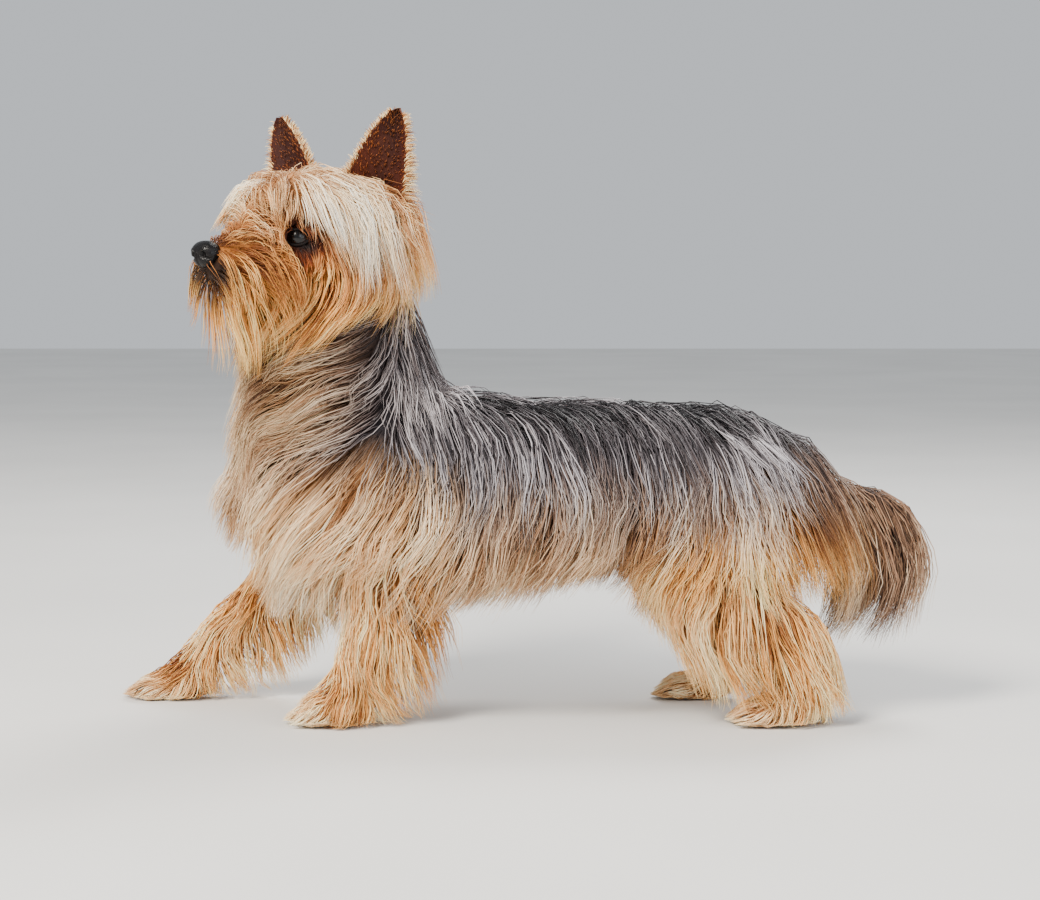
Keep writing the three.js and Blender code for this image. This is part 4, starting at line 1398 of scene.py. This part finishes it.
@dataclass
class StrandTree:
    """The Geometry Nodes that sweep hairs along their paths.

    Attributes:
        material: What the hairs are made of.
        sides: Sides of a hair's section.
    """

    material: bpy.types.Material
    sides: int = 3

    def __post_init__(self) -> None:
        """Build the tree."""
        tree = bpy.data.node_groups.new("Hair sweep", "GeometryNodeTree")
        n = Nodes(tree)
        n.socket("Geometry", "Geometry")
        self.width = n.socket("Width", "Float")
        self.frizz = n.socket("Frizz", "Float")
        self.seed = n.socket("Seed", "Int")
        n.socket("Geometry", "Geometry", "OUTPUT")
        named = "GeometryNodeInputNamedAttribute"
        given = n.add("NodeGroupInput").outputs
        curves = n.add("GeometryNodeMeshToCurve", {0: given[0]}).outputs[0]
        strand = n.add(named, {"Name": "strand"}, data_type="FLOAT_VECTOR").outputs[0]
        along = n.add("ShaderNodeSeparateXYZ", {0: strand}).outputs[0]
        place = n.add("GeometryNodeInputPosition").outputs[0]
        grain = {"Vector": place, "W": given["Seed"], "Scale": 130.0, "Detail": 1.0}
        noise = n.add("ShaderNodeTexNoise", grain, noise_dimensions="4D").outputs["Color"]
        vector = "ShaderNodeVectorMath"
        centred = n.add(vector, {0: noise, 1: (0.5, 0.5, 0.5)}, operation="SUBTRACT").outputs[0]
        reach = n.maths("MULTIPLY", along, given["Frizz"])
        shift = n.add(vector, {0: centred, "Scale": reach}, operation="SCALE").outputs[0]
        moved = n.add("GeometryNodeSetPosition", {0: curves, "Offset": shift}).outputs[0]
        half = n.add(named, {"Name": "half"}, data_type="FLOAT").outputs[0]
        radius = n.maths("MULTIPLY", half, given["Width"])
        sized = n.add("GeometryNodeSetCurveRadius", {0: moved, "Radius": radius}).outputs[0]
        ring = n.add("GeometryNodeCurvePrimitiveCircle", {"Resolution": self.sides, "Radius": 1.0}).outputs[0]
        sweep = n.add("GeometryNodeCurveToMesh", {"Curve": sized, "Profile Curve": ring, "Fill Caps": True})
        if "Scale" in sweep.inputs:
            tree.links.new(radius, sweep.inputs["Scale"])
        smoothed = n.add("GeometryNodeSetShadeSmooth", {0: sweep.outputs[0]}).outputs[0]
        real = n.add("GeometryNodeRealizeInstances", {0: smoothed}).outputs[0]
        done = n.add("GeometryNodeSetMaterial", {0: real, "Material": self.material}).outputs[0]
        n.add("NodeGroupOutput", {0: done})
        self.tree = tree

    def sweep(self, name: str, hairs: Hairs, frizz: float, seed: int) -> bpy.types.Object:
        """Turn hairs into one closed mesh.

        Args:
            name: The piece's name.
            hairs: The hairs.
            frizz: How far tips stray, in mm.
            seed: The seed of the straying.

        Returns:
            The finished piece.
        """
        count, steps = hairs.paths.shape[:2]
        points = (hairs.paths.reshape(-1, 3) + PLACE) * MM
        lines = np.arange(count * steps).reshape(count, steps)
        edges = np.stack([lines[:, :-1], lines[:, 1:]], axis=-1).reshape(-1, 2)
        mesh = bpy.data.meshes.new(name + "_paths")
        mesh.vertices.add(len(points))
        mesh.vertices.foreach_set("co", points.ravel())
        mesh.edges.add(len(edges))
        mesh.edges.foreach_set("vertices", edges.ravel())
        put_attribute(mesh, "marks", "FLOAT_COLOR", hairs.marks.reshape(-1, 4))
        put_attribute(mesh, "strand", "FLOAT_VECTOR", hairs.strand.reshape(-1, 3))
        put_attribute(mesh, "half", "FLOAT", hairs.width.reshape(-1))
        patch = np.repeat(hairs.patch, steps, axis=0)
        put_attribute(mesh, "patch", "FLOAT_VECTOR", np.column_stack([patch, 0 * patch[:, 0]]))
        source = bpy.data.objects.new(name + "_paths", mesh)
        bpy.context.scene.collection.objects.link(source)
        modifier = source.modifiers.new("Hair sweep", "NODES")
        modifier.node_group = self.tree
        modifier[self.width.identifier] = MM
        modifier[self.frizz.identifier] = frizz * MM
        modifier[self.seed.identifier] = seed
        seen = source.evaluated_get(bpy.context.evaluated_depsgraph_get())
        made = bpy.data.meshes.new_from_object(seen)
        made.name = name
        source.modifiers.clear()
        bpy.data.objects.remove(source)
        self.add_bake_map(made)
        piece = bpy.data.objects.new(name, made)
        bpy.context.scene.collection.objects.link(piece)
        return piece

    def add_bake_map(self, mesh: bpy.types.Mesh) -> None:
        """Give each hair its own small patch at its root's place on the unwrapped skin.

        Args:
            mesh: The swept hairs.
        """
        corners = np.empty(len(mesh.loops), dtype=np.int32)
        mesh.loops.foreach_get("vertex_index", corners)
        patch = np.empty(len(mesh.vertices) * 3, dtype=np.float32)
        mesh.attributes["patch"].data.foreach_get("vector", patch)
        strand = np.empty(len(mesh.vertices) * 3, dtype=np.float32)
        mesh.attributes["strand"].data.foreach_get("vector", strand)
        patch = patch.reshape(-1, 3)[:, :2]
        along = strand.reshape(-1, 3)[:, 0]
        around = (np.arange(len(mesh.vertices)) % self.sides) / self.sides
        uv = patch + 0.003 * np.column_stack([along, around])
        layer = mesh.uv_layers.new(name="OFBake")
        layer.data.foreach_set("uv", uv[corners].astype(np.float32).ravel())
        mesh.attributes.remove(mesh.attributes["patch"])


def lathe(rings: Sequence[Array], first: Array, last: Array) -> Net:
    """Close rings of points into a surface with a pole at each end.

    Args:
        rings: Rings with the same number of points.
        first: The pole before the first ring.
        last: The pole after the last ring.

    Returns:
        Points and faces.
    """
    around = len(rings[0])
    points = np.vstack([*rings, first[None], last[None]])
    end = len(rings) * around
    faces: list[list[int]] = []
    for j in range(around):
        k = (j + 1) % around
        faces.append([end, k, j])
        for i in range(len(rings) - 1):
            a, b = i * around, (i + 1) * around
            faces.append([a + j, a + k, b + k, b + j])
        faces.append([end + 1, (len(rings) - 1) * around + j, (len(rings) - 1) * around + k])
    return points, faces


def join(parts: Sequence[Net]) -> Net:
    """Join parts into one set of points and faces.

    Args:
        parts: The parts.

    Returns:
        All points and all faces.
    """
    faces: list[list[int]] = []
    shift = 0
    for points, part in parts:
        faces += [[v + shift for v in face] for face in part]
        shift += len(points)
    return np.vstack([points for points, _ in parts]), faces


def outward(obj: bpy.types.Object) -> bpy.types.Object:
    """Turn every face of a closed object outwards.

    Args:
        obj: The object.

    Returns:
        The same object.
    """
    shape = bmesh.new()
    shape.from_mesh(obj.data)
    bmesh.ops.recalc_face_normals(shape, faces=shape.faces)
    shape.to_mesh(obj.data)
    shape.free()
    return obj


@dataclass
class Eyes:
    """The two eyes and their lids.

    Attributes:
        radius: The eyeball's radius, in mm.
        place: Where the left eyeball's middle stands in the head's frame.
        look: The way the left eye looks, in the head's frame.
        cornea: How far the cornea stands out, in mm.
        opening: Half the width and half the height between the lids, in mm.
    """

    radius: float = 8.6
    place: tuple[float, float, float] = (25.5, 20.0, -8.0)
    look: tuple[float, float, float] = (0.72, 0.66, 0.06)
    cornea: float = 0.7
    opening: tuple[float, float] = (7.0, 4.7)

    def frame(self, side: int) -> tuple[Array, Array, Array, Array]:
        """Give one eye's own frame.

        Args:
            side: Which eye.

        Returns:
            Its middle, the way it looks, and the directions across and up its opening.
        """
        f, s, w = self.place
        centre = Head.at(f, side * s, w)
        look = unit(Head.at(self.look[0], side * self.look[1], self.look[2]) - Head.centre)
        flat = unit(np.cross(Head.up, look))
        return centre, look, flat, np.cross(look, flat)

    def ball(self, side: int, name: str, finishes: Finishes) -> bpy.types.Object:
        """Build one eyeball with its cornea.

        Args:
            side: Which eye.
            name: The piece's name.
            finishes: The materials.

        Returns:
            The eyeball.
        """
        centre, look, flat, rise = self.frame(side)
        around, bands = 40, 28
        turn = circle(around)
        disc = np.outer(np.cos(turn), flat) + np.outer(np.sin(turn), rise)
        rings, ring_share = [], []
        for k in range(1, bands):
            angle = math.pi * k / bands
            r = self.radius + self.cornea * math.exp(-((angle / 0.5) ** 2))
            rings.append(centre + look * r * math.cos(angle) + r * math.sin(angle) * disc)
            ring_share.append(angle / math.pi)
        points, faces = lathe(rings, centre + look * (self.radius + self.cornea), centre - look * self.radius)
        piece = outward(new_mesh(name, points, faces))
        shares = np.concatenate([np.repeat(ring_share, around), [0.0, 1.0]])
        put_attribute(piece.data, "ring", "FLOAT", shares * 2)
        piece.data.materials.append(finishes.eye)
        return piece

    def lids(self, side: int) -> Net:
        """Build the almond rim of both lids as one closed ring.

        Args:
            side: Which eye.

        Returns:
            Points and faces.
        """
        centre, look, flat, rise = self.frame(side)
        count, around = 48, 8
        turn = circle(count)
        wide = self.opening[0] + 0.9 * np.maximum(np.cos(turn) * side, 0) ** 8
        high = self.opening[1] * np.abs(np.sin(turn)) ** 0.9 * np.sign(np.sin(turn))
        flats = wide * np.cos(turn)
        seat = np.sqrt(np.maximum((self.radius + 0.35) ** 2 - flats**2 - high**2, 4.0))
        spine = centre + np.outer(seat, look) + np.outer(flats, flat) + np.outer(high, rise)
        out = unit(spine - centre)
        along = unit(np.roll(spine, -1, 0) - np.roll(spine, 1, 0))
        cross = np.cross(along, out)
        rings = [spine + 0.95 * (math.cos(angle) * out + math.sin(angle) * cross) + 0.15 * out
                 for angle in circle(around)]
        points = np.stack(rings, axis=1).reshape(-1, 3)
        faces = []
        for i in range(count):
            a, b = i * around, (i + 1) % count * around
            faces += [[a + j, a + (j + 1) % around, b + (j + 1) % around, b + j] for j in range(around)]
        return points, faces


@dataclass
class Nose:
    """The nose pad, in mm.

    Attributes:
        forward: Where its middle stands ahead of the skull's.
        up: Its height in the head's frame.
        half: Half its length, width and height.
    """

    forward: float = 80.0
    up: float = -18.0
    half: tuple[float, float, float] = (7.5, 10.0, 8.2)

    def build(self, finishes: Finishes) -> bpy.types.Object:
        """Build the pad with its nostrils and the groove between them.

        Args:
            finishes: The materials.

        Returns:
            The pad.
        """
        square = lambda v: np.sign(v) * np.abs(v) ** 0.85
        around, bands = 72, 44
        turn = circle(around)
        rings = []
        for k in range(1, bands):
            polar = math.pi * k / bands
            f = square(np.full(around, math.cos(polar))) * self.half[0]
            s = square(math.sin(polar) * np.cos(turn)) * self.half[1]
            w = square(math.sin(polar) * np.sin(turn)) * self.half[2]
            s = s * (1 - 0.22 * smooth(0, -8, w))
            front = smooth(0.5, 4.5, f)
            a = np.abs(s)
            pit = 4.4 * spot(a, w, (4.7, -0.2), (1.5, 1.7))
            slit = 2.2 * spot(a, w, (7.4, -2.4), (2.4, 0.9))
            groove = 1.1 * np.exp(-((s / 0.75) ** 2)) * smooth(2.5, -1, w)
            rim = 0.7 * spot(a, w, (5.6, 2.6), (2.9, 1.5))
            f = f - front * (pit + slit + groove - rim)
            rings.append(Head.centre + Head.way(self.forward + f, s, self.up + w))
        first = Head.at(self.forward + self.half[0] - 1.0, 0, self.up)
        last = Head.at(self.forward - self.half[0], 0, self.up)
        piece = outward(new_mesh("nose_pad", *lathe(rings, first, last)))
        piece.data.materials.append(finishes.nose)
        return piece


@dataclass
class Ears:
    """The two pricked ears: thin cupped sheets, in mm.

    Attributes:
        half_width: Half the width near the base.
        cup: How deep the cup is.
        thick: The sheet's thickness.
        turn: How far both openings turn to the dog's left.
        rows: Rows of points from the base to the tip.
        columns: Points across the sheet.
    """

    half_width: float = 23.0
    cup: float = 9.0
    thick: float = 2.2
    turn: float = 0.2
    rows: int = 26
    columns: int = 20

    def frame(self, side: int) -> tuple[Array, Array, Array, Array]:
        """Give one ear's own frame.

        Args:
            side: Which ear.

        Returns:
            Its base, its axis up to the tip, the way it opens and the direction of its width.
        """
        base = Head.at(-22, side * 30, 6)
        tip = Head.at(-24, side * 58, 71)
        axis = tip - base
        along = unit(axis)
        turn = self.turn if side > 0 else 1.9 * self.turn
        opened = Head.at(0.9, turn + side * 0.26, -0.1) - Head.centre
        opened = unit(opened - along * (opened @ along))
        return base, axis, opened, np.cross(along, opened)

    def point(self, side: int, share: Array, across: Array, offset: Array) -> Array:
        """Place points of the sheet.

        Args:
            side: Which ear.
            share: Shares from the base to the tip.
            across: From -1 to 1 across the sheet.
            offset: Distance towards the opening.

        Returns:
            Points in mm.
        """
        base, axis, opened, width = self.frame(side)
        half = self.half_width * (1 - share) ** 0.72 * (0.86 + 0.55 * share) + 0.9
        depth = self.cup * (1 - 0.65 * share)
        curl = depth * across**2 - depth * 0.6 + offset
        return base + np.outer(share, axis) + np.outer(across * half, width) + np.outer(curl, opened)

    def sheet(self, side: int) -> Net:
        """Build one ear as a closed sheet.

        Args:
            side: Which ear.

        Returns:
            Points and faces, those of the back first.
        """
        i, j = np.meshgrid(np.linspace(0, 1, self.rows), np.linspace(-1, 1, self.columns), indexing="ij")
        i, j = i.ravel(), j.ravel()
        back = self.point(side, i, j, 0 * i - self.thick / 2)
        front = self.point(side, i, j, 0 * i + self.thick / 2)
        points = np.vstack([back, front])
        shift = len(back)
        c = self.columns
        faces = []
        for a in range(self.rows - 1):
            for b in range(c - 1):
                q = [a * c + b, a * c + b + 1, (a + 1) * c + b + 1, (a + 1) * c + b]
                faces.append(q)
                faces.append([v + shift for v in reversed(q)])
            for b in (0, c - 1):
                q = [a * c + b, (a + 1) * c + b, (a + 1) * c + b + shift, a * c + b + shift]
                faces.append(q if b == 0 else q[::-1])
        for b in range(c - 1):
            for a in (0, self.rows - 1):
                q = [a * c + b, a * c + b + shift, a * c + b + 1 + shift, a * c + b + 1]
                faces.append(q if a == 0 else q[::-1])
        return points, faces

    def hairs(self, rnd: np.random.Generator, count: int = 2250, steps: int = 7) -> Hairs:
        """Grow short hair on both faces and the longer fringe on the edges.

        Args:
            rnd: Random numbers.
            count: Hairs on each ear.
            steps: Points along each hair.

        Returns:
            The hairs of both ears.
        """
        sets = []
        for side in BOTH:
            _, axis, opened, width = self.frame(side)
            along = unit(axis)
            share = rnd.random(count) ** 1.1 * 0.96
            edge = rnd.random(count) < 0.5
            across = np.where(edge, np.sign(rnd.random(count) - 0.5) * (0.9 + 0.1 * rnd.random(count)),
                              rnd.random(count) * 2 - 1)
            face = np.where(rnd.random(count) < 0.55, -1.0, 1.0)
            inside = (face > 0) & ~edge
            root = self.point(side, share, across, face * self.thick * 0.35)
            half = np.maximum(self.half_width * (1 - share) + 2, 4)
            slope = 2 * self.cup * (1 - 0.65 * share) * across / half
            normal = unit(face[:, None] * (opened - width * slope[:, None]))
            aside = width * np.sign(across)[:, None]
            way = along * 0.75 + aside * (0.55 * edge + 0.35 * across * np.sign(across) * ~edge)[:, None]
            way = way + normal * np.where(inside, 0.22, 0.16)[:, None] + rnd.normal(0, 0.12, (count, 3))
            way = unit(way - Head.up * (0.75 * smooth(0.4, 0.0, share))[:, None])
            outer = across * side > 0
            length = np.where(edge, np.where(outer, 13 - 9 * share, 8 - 4 * share), 4.5)
            length = length * (0.7 + 0.6 * rnd.random(count))
            length = length + 14 * smooth(0.4, 0.0, share) * (0.4 + 0.6 * rnd.random(count)) * ~inside
            t = np.linspace(0, 1, steps)
            paths = root[:, None] + way[:, None] * (length[:, None] * t[None])[:, :, None]
            sag = (length[:, None] * t[None] ** 2 * 0.35)[:, :, None] * Head.up
            paths = paths - sag + normal[:, None] * (0.8 * np.sin(np.pi * t))[None, :, None]
            marks = np.zeros((count, steps, 4))
            rust = np.where(inside, 0.95 - 0.25 * share, 0.2 * (1 - np.abs(across)))
            marks[:, :, 2] = rust[:, None]
            marks[:, :, 3] = np.where(inside, 0.5 * (1 - across**2), 0.0)[:, None]
            marks[:, :, 1] = np.where(edge, 0.3, 0.0)[:, None]
            deep = inside[:, None]
            tone = np.where(deep, 0.28 + 0.16 * rnd.random((count, 1)), rnd.random((count, 1)))
            strand = np.stack([np.repeat(t[None], count, 0), np.repeat(tone, steps, 1),
                               np.repeat(tone, steps, 1)], axis=-1)
            taper = np.maximum(1 - t**2, 0.08)
            size = 0.26 * (0.75 + 0.5 * rnd.random(count))[:, None] * taper[None]
            patch = columns(share * 0.95 + 0.01, across * 0.23 + (0.25 if side > 0 else 0.74))
            sets.append(Hairs(paths, marks, strand, size, patch, np.full(count, Zone.HEAD.value)))
        return Hairs(*[np.concatenate([getattr(s, name) for s in sets]) for name in
                       ("paths", "marks", "strand", "width", "patch", "zone")])


@dataclass
class Skin:
    """The one skin under the coat, with ears and lids.

    Attributes:
        flesh: The forms.
        ears: The ears.
        eyes: The eyes, with their lids.
        pitch: The pitch of the net it is made from, in mm.
        socket: The radius of the dip around each eye, in mm.
        lips: Half the height of the line of the mouth, in mm.
        depth: How deep that line is, in mm.
    """

    flesh: Flesh
    ears: Ears
    eyes: Eyes
    pitch: float = 1.8
    socket: float = 10.3
    lips: float = 1.1
    depth: float = 2.2

    def build(self, finishes: Finishes) -> tuple[bpy.types.Object, Array, Array]:
        """Build the skin.

        Args:
            finishes: The materials.

        Returns:
            The skin, and the vertices and quads of its body for the coat's roots.
        """
        net = Field.measure(self.flesh, self.pitch, 12, 6)
        net.values = np.maximum(net.values, (0.4 - net.axes()[2])[None, None, :].astype(np.float32))
        self.carve(net)
        points, quads = net.surface()
        parts = [(points, quads.tolist())]
        marks = [Markings.at(points, points, Lie.weights(self.flesh, points))]
        for side in BOTH:
            ear, lid = self.ears.sheet(side), self.eyes.lids(side)
            inner = np.arange(len(ear[0])) >= len(ear[0]) // 2
            across = np.abs(np.tile(np.linspace(-1, 1, self.ears.columns), 2 * self.ears.rows))
            parts += [ear, lid]
            marks += [columns(0.0, 0.0, np.where(inner, 1.0, 0.4),
                              np.where(inner, 0.3 + 0.35 * (1 - across**2), 0.15)),
                      np.tile([0.0, 0.0, 0.0, 1.0], (len(lid[0]), 1))]
        skin = outward(new_mesh("skin", *join(parts)))
        put_attribute(skin.data, "marks", "FLOAT_COLOR", np.vstack(marks))
        # Painted shade: the skin gets a fixed low tone at a point near the hairs' roots, so that it shows as
        # the dark shade deep in the coat between the hairs.
        strand = np.tile([0.35, 0.4, 0.3], (len(skin.data.vertices), 1))
        put_attribute(skin.data, "strand", "FLOAT_VECTOR", strand)
        skin.data.materials.append(finishes.skin)
        return skin, points, quads

    def carve(self, net: Field) -> None:
        """Sink the eye sockets and the line of the mouth.

        Args:
            net: The distances to change.
        """
        keep = [(a > lo) & (a < hi) for a, lo, hi in zip(net.axes(), (-215, -100, 265), (-110, 10, 325))]
        box = tuple(slice(int(np.argmax(k)), int(len(k) - np.argmax(k[::-1]))) for k in keep)
        p = net.inside(box)
        d = net.values[box].ravel()
        for side in BOTH:
            centre, look, _, _ = self.eyes.frame(side)
            lid = np.linalg.norm(p - (centre - 2.2 * look), axis=1) - self.socket
            d = melt(d, lid, 4)
            d = np.maximum(d, self.eyes.radius + 0.5 - np.linalg.norm(p - centre, axis=1))
        f, _, w = Head.coordinates(p)
        line = np.interp(f, [50, 64, 80, 96], [-35, -31, -29.5, -29])
        slit = np.maximum.reduce([np.abs(w - line) - self.lips, 54 - f, -self.depth - d])
        net.values[box] = np.maximum(d, -slit).reshape(net.values[box].shape).astype(np.float32)


@dataclass
class Claws:
    """The claws of all four paws, in mm.

    Attributes:
        length: The length of one claw.
        half: Half its thickness at the root.
    """

    length: float = 9.0
    half: float = 1.6

    def bow(self, t: float) -> Array:
        """Follow a claw's middle for a share t of its length."""
        return np.array([-self.length * math.sin(t * 1.3) / 1.25, 0.0, -6.2 * t * t])

    def build(self, finishes: Finishes) -> bpy.types.Object:
        """Build every claw as one piece.

        Args:
            finishes: The materials.

        Returns:
            The claws.
        """
        turn, steps = circle(10), 6
        parts = []
        for x, side in PAWS:
            for slot in TOES:
                start = np.array([toe_tip(x, slot) - 0.5, side * TRACK + slot * 6.4, 8.2])
                rings = []
                for k in range(steps):
                    r = self.half * (1 - k / steps) ** 0.7 + 0.15
                    rings.append(start + self.bow(k / steps) + np.outer(0.8 * r * np.cos(turn), [0, 1, 0])
                                 + np.outer(r * np.sin(turn), [0.35, 0, 1]))
                parts.append(lathe(rings, start + np.array([1.0, 0, 0]), start + self.bow(1.0)))
        piece = outward(new_mesh("claws", *join(parts)))
        piece.data.materials.append(finishes.claw)
        return piece


@dataclass
class Coat:
    """The coat over the skin.

    Attributes:
        growth: How hair is grown.
        tree: What sweeps it into meshes.
        count: How many roots are set on the skin.
        spare: One hair in this many is left out, to hold the coat's size down.
        bare: How near an eye's middle no hair grows, in mm.
        most: Most triangles in one piece.
    """

    growth: Growth
    tree: StrandTree
    count: int = 37_000
    spare: int = 28
    bare: float = 8.4
    most: int = 185_000

    def density(self, p: Array) -> Array:
        """Say how thick the coat grows.

        Args:
            p: Points of the skin, in mm.

        Returns:
            Relative densities.
        """
        weights = Lie.weights(self.growth.flesh, p)
        table = dict.fromkeys(Zone, 1.4) | {Zone.TRUNK: 1.0, Zone.NECK: 1.3, Zone.HEAD: 3.0, Zone.TAIL: 4.2,
                                            Zone.FORELEG_NEAR: 1.6, Zone.FORELEG_FAR: 1.5, Zone.PAW: 3.0}
        thick = sum(weights[zone] * table[zone] for zone in Zone)
        f, s, w = Head.coordinates(p)
        eye = self.growth.eyes.place
        around_eye = (f - eye[0]) ** 2 + (np.abs(s) - eye[1]) ** 2 + (w - eye[2]) ** 2 < self.bare**2
        at_nose = (f > 79) & (w > -25)
        hidden = self.growth.air.at(p) < -2.0
        return np.where(around_eye | at_nose | hidden | (p[:, 2] < 1.2), 0.0, thick)

    def build(self, points: Array, quads: Array) -> list[tuple[Zone, bpy.types.Object]]:
        """Grow and sweep the whole coat.

        Args:
            points: The skin's vertices.
            quads: Its faces.

        Returns:
            The coat's pieces, each with its zone.
        """
        root = sample_surface(points, quads, self.count, self.density, self.growth.random)
        hairs = self.growth.grow(root, self.growth.air.away(root))
        spare = np.arange(len(root)) % self.spare == 0
        hairs = hairs.pick(~self.growth.crosses_eye(hairs.paths) & ~spare)
        pieces = []
        per_hair = 2 * self.tree.sides * (self.growth.steps - 1) + 2
        room = self.most // per_hair
        for zone in Zone:
            chosen = np.flatnonzero(hairs.zone == zone.value)
            chosen = chosen[np.argsort(hairs.paths[chosen, 0, 0])]
            frizz = 0.5 if zone is Zone.PAW else 1.3
            for number, start in enumerate(range(0, len(chosen), room), 1):
                part = hairs.pick(chosen[start : start + room])
                name = f"coat_{zone.name.lower()}_{number}"
                pieces.append((zone, self.tree.sweep(name, part, frizz, 11 + zone.value)))
                LOG.info("%s: %d hairs", name, len(part.paths))
        return pieces


@dataclass(frozen=True)
class Lamp:
    """One soft light that looks at the dog.

    Attributes:
        name: Its name.
        place: Where it hangs, in metres.
        size: Its diameter, in metres.
        power: Its power, in watts.
        colour: Its colour.
    """

    name: str
    place: tuple[float, float, float]
    size: float
    power: float
    colour: tuple[float, float, float]

    def hang(self) -> None:
        """Hang the light in the scene."""
        data = bpy.data.lights.new(self.name, "AREA")
        data.shape = "DISK"
        data.size = self.size
        data.energy = self.power
        data.color = self.colour
        lamp = bpy.data.objects.new(self.name, data)
        lamp.location = self.place
        lamp.rotation_euler = (Vector((0, 0, 0.18)) - Vector(self.place)).to_track_quat("-Z", "Y").to_euler()
        bpy.context.scene.collection.objects.link(lamp)


@dataclass
class Studio:
    """The floor, the lights and the camera.

    Attributes:
        eye: Where the camera stands, in mm.
        pitch: How far it looks down, in degrees.
        lens: Its focal length, in mm.
        floor: Half the floor's width, in metres.
        daylight: The strength of the light from all around.
        lamps: The lights.
    """

    eye: tuple[float, float, float] = (1.0, -1394.0, 290.0)
    pitch: float = 4.9
    lens: float = 75.7
    floor: float = 6.0
    daylight: float = 0.74
    lamps: tuple[Lamp, ...] = (Lamp("key", (-1.0, -1.4, 1.7), 0.9, 108, (1.0, 0.94, 0.85)),
                               Lamp("fill", (1.5, -1.3, 0.9), 1.6, 26, (0.96, 0.97, 1.0)),
                               Lamp("rim", (0.6, 1.0, 1.7), 0.9, 34, (1.0, 0.98, 0.95)))

    def build(self, finishes: Finishes) -> None:
        """Set the studio up.

        Args:
            finishes: The materials.
        """
        scene = bpy.context.scene
        camera = bpy.data.objects.new("Camera", bpy.data.cameras.new("Camera"))
        camera.location = Vector(self.eye) * MM
        camera.rotation_euler = (math.radians(90 - self.pitch), 0, 0)
        camera.data.lens = self.lens
        camera.data.sensor_width = 36
        camera.data.clip_start = 0.01
        scene.collection.objects.link(camera)
        scene.camera = camera
        corners = np.array([[-1, -1, 0], [1, -1, 0], [1, 1, 0], [-1, 1, 0]]) * self.floor / MM
        floor = new_mesh("floor", corners - PLACE, [[0, 1, 2, 3]], False)
        floor.data.materials.append(finishes.floor)
        for lamp in self.lamps:
            lamp.hang()
        world = bpy.data.worlds.new("Studio")
        world.use_nodes = True
        sky = world.node_tree.nodes["Background"]
        Nodes(world.node_tree).feed(sky, {0: (0.86, 0.9, 0.95, 1), 1: self.daylight})
        scene.world = world


def finish_piece(piece: bpy.types.Object, slot: str, *nodes: str) -> None:
    """Tie a piece to the model.

    Args:
        piece: The piece.
        slot: The record's material slot; not used.
        *nodes: The CAD nodes that it stands for.
    """
    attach(piece, "root")
    if nodes:
        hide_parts(*nodes)
    LOG.info("%s: %d faces", piece.name, len(piece.data.polygons))


SLOTS: dict[Zone, str] = dict.fromkeys(Zone, "cream_coat") | {
    Zone.TRUNK: "steel_coat", Zone.NECK: "steel_coat", Zone.HEAD: "golden_coat", Zone.TAIL: "taupe_coat",
}


def main() -> None:
    """Build the dog and its studio."""
    finishes = Finishes()
    flesh = Flesh()
    eyes, ears = Eyes(), Ears()
    Studio().build(finishes)
    skin, points, quads = Skin(flesh, ears, eyes).build(finishes)
    finish_piece(skin, "golden_coat", "head", "neck", "torso", "tail", "left_ear", "right_ear",
                 "left_foreleg", "right_foreleg", "left_hind_leg", "right_hind_leg",
                 "left_forepaw", "right_forepaw", "left_hind_paw", "right_hind_paw")
    air = Field.measure(flesh, 4.0, 60, 60)
    growth = Growth(flesh, air, eyes)
    tree = StrandTree(finishes.coat)
    for zone, piece in Coat(growth, tree).build(points, quads):
        finish_piece(piece, SLOTS[zone])
    fringe = tree.sweep("coat_ears", ears.hairs(growth.random), 0.8, 5)
    finish_piece(fringe, "golden_coat")
    finish_piece(eyes.ball(1, "left_eyeball", finishes), "eye", "left_eye")
    finish_piece(eyes.ball(-1, "right_eyeball", finishes), "eye", "right_eye")
    finish_piece(Nose().build(finishes), "nose_pad", "nose")
    finish_piece(Claws().build(finishes), "nose_pad")


if __name__ == "__main__":
    main()
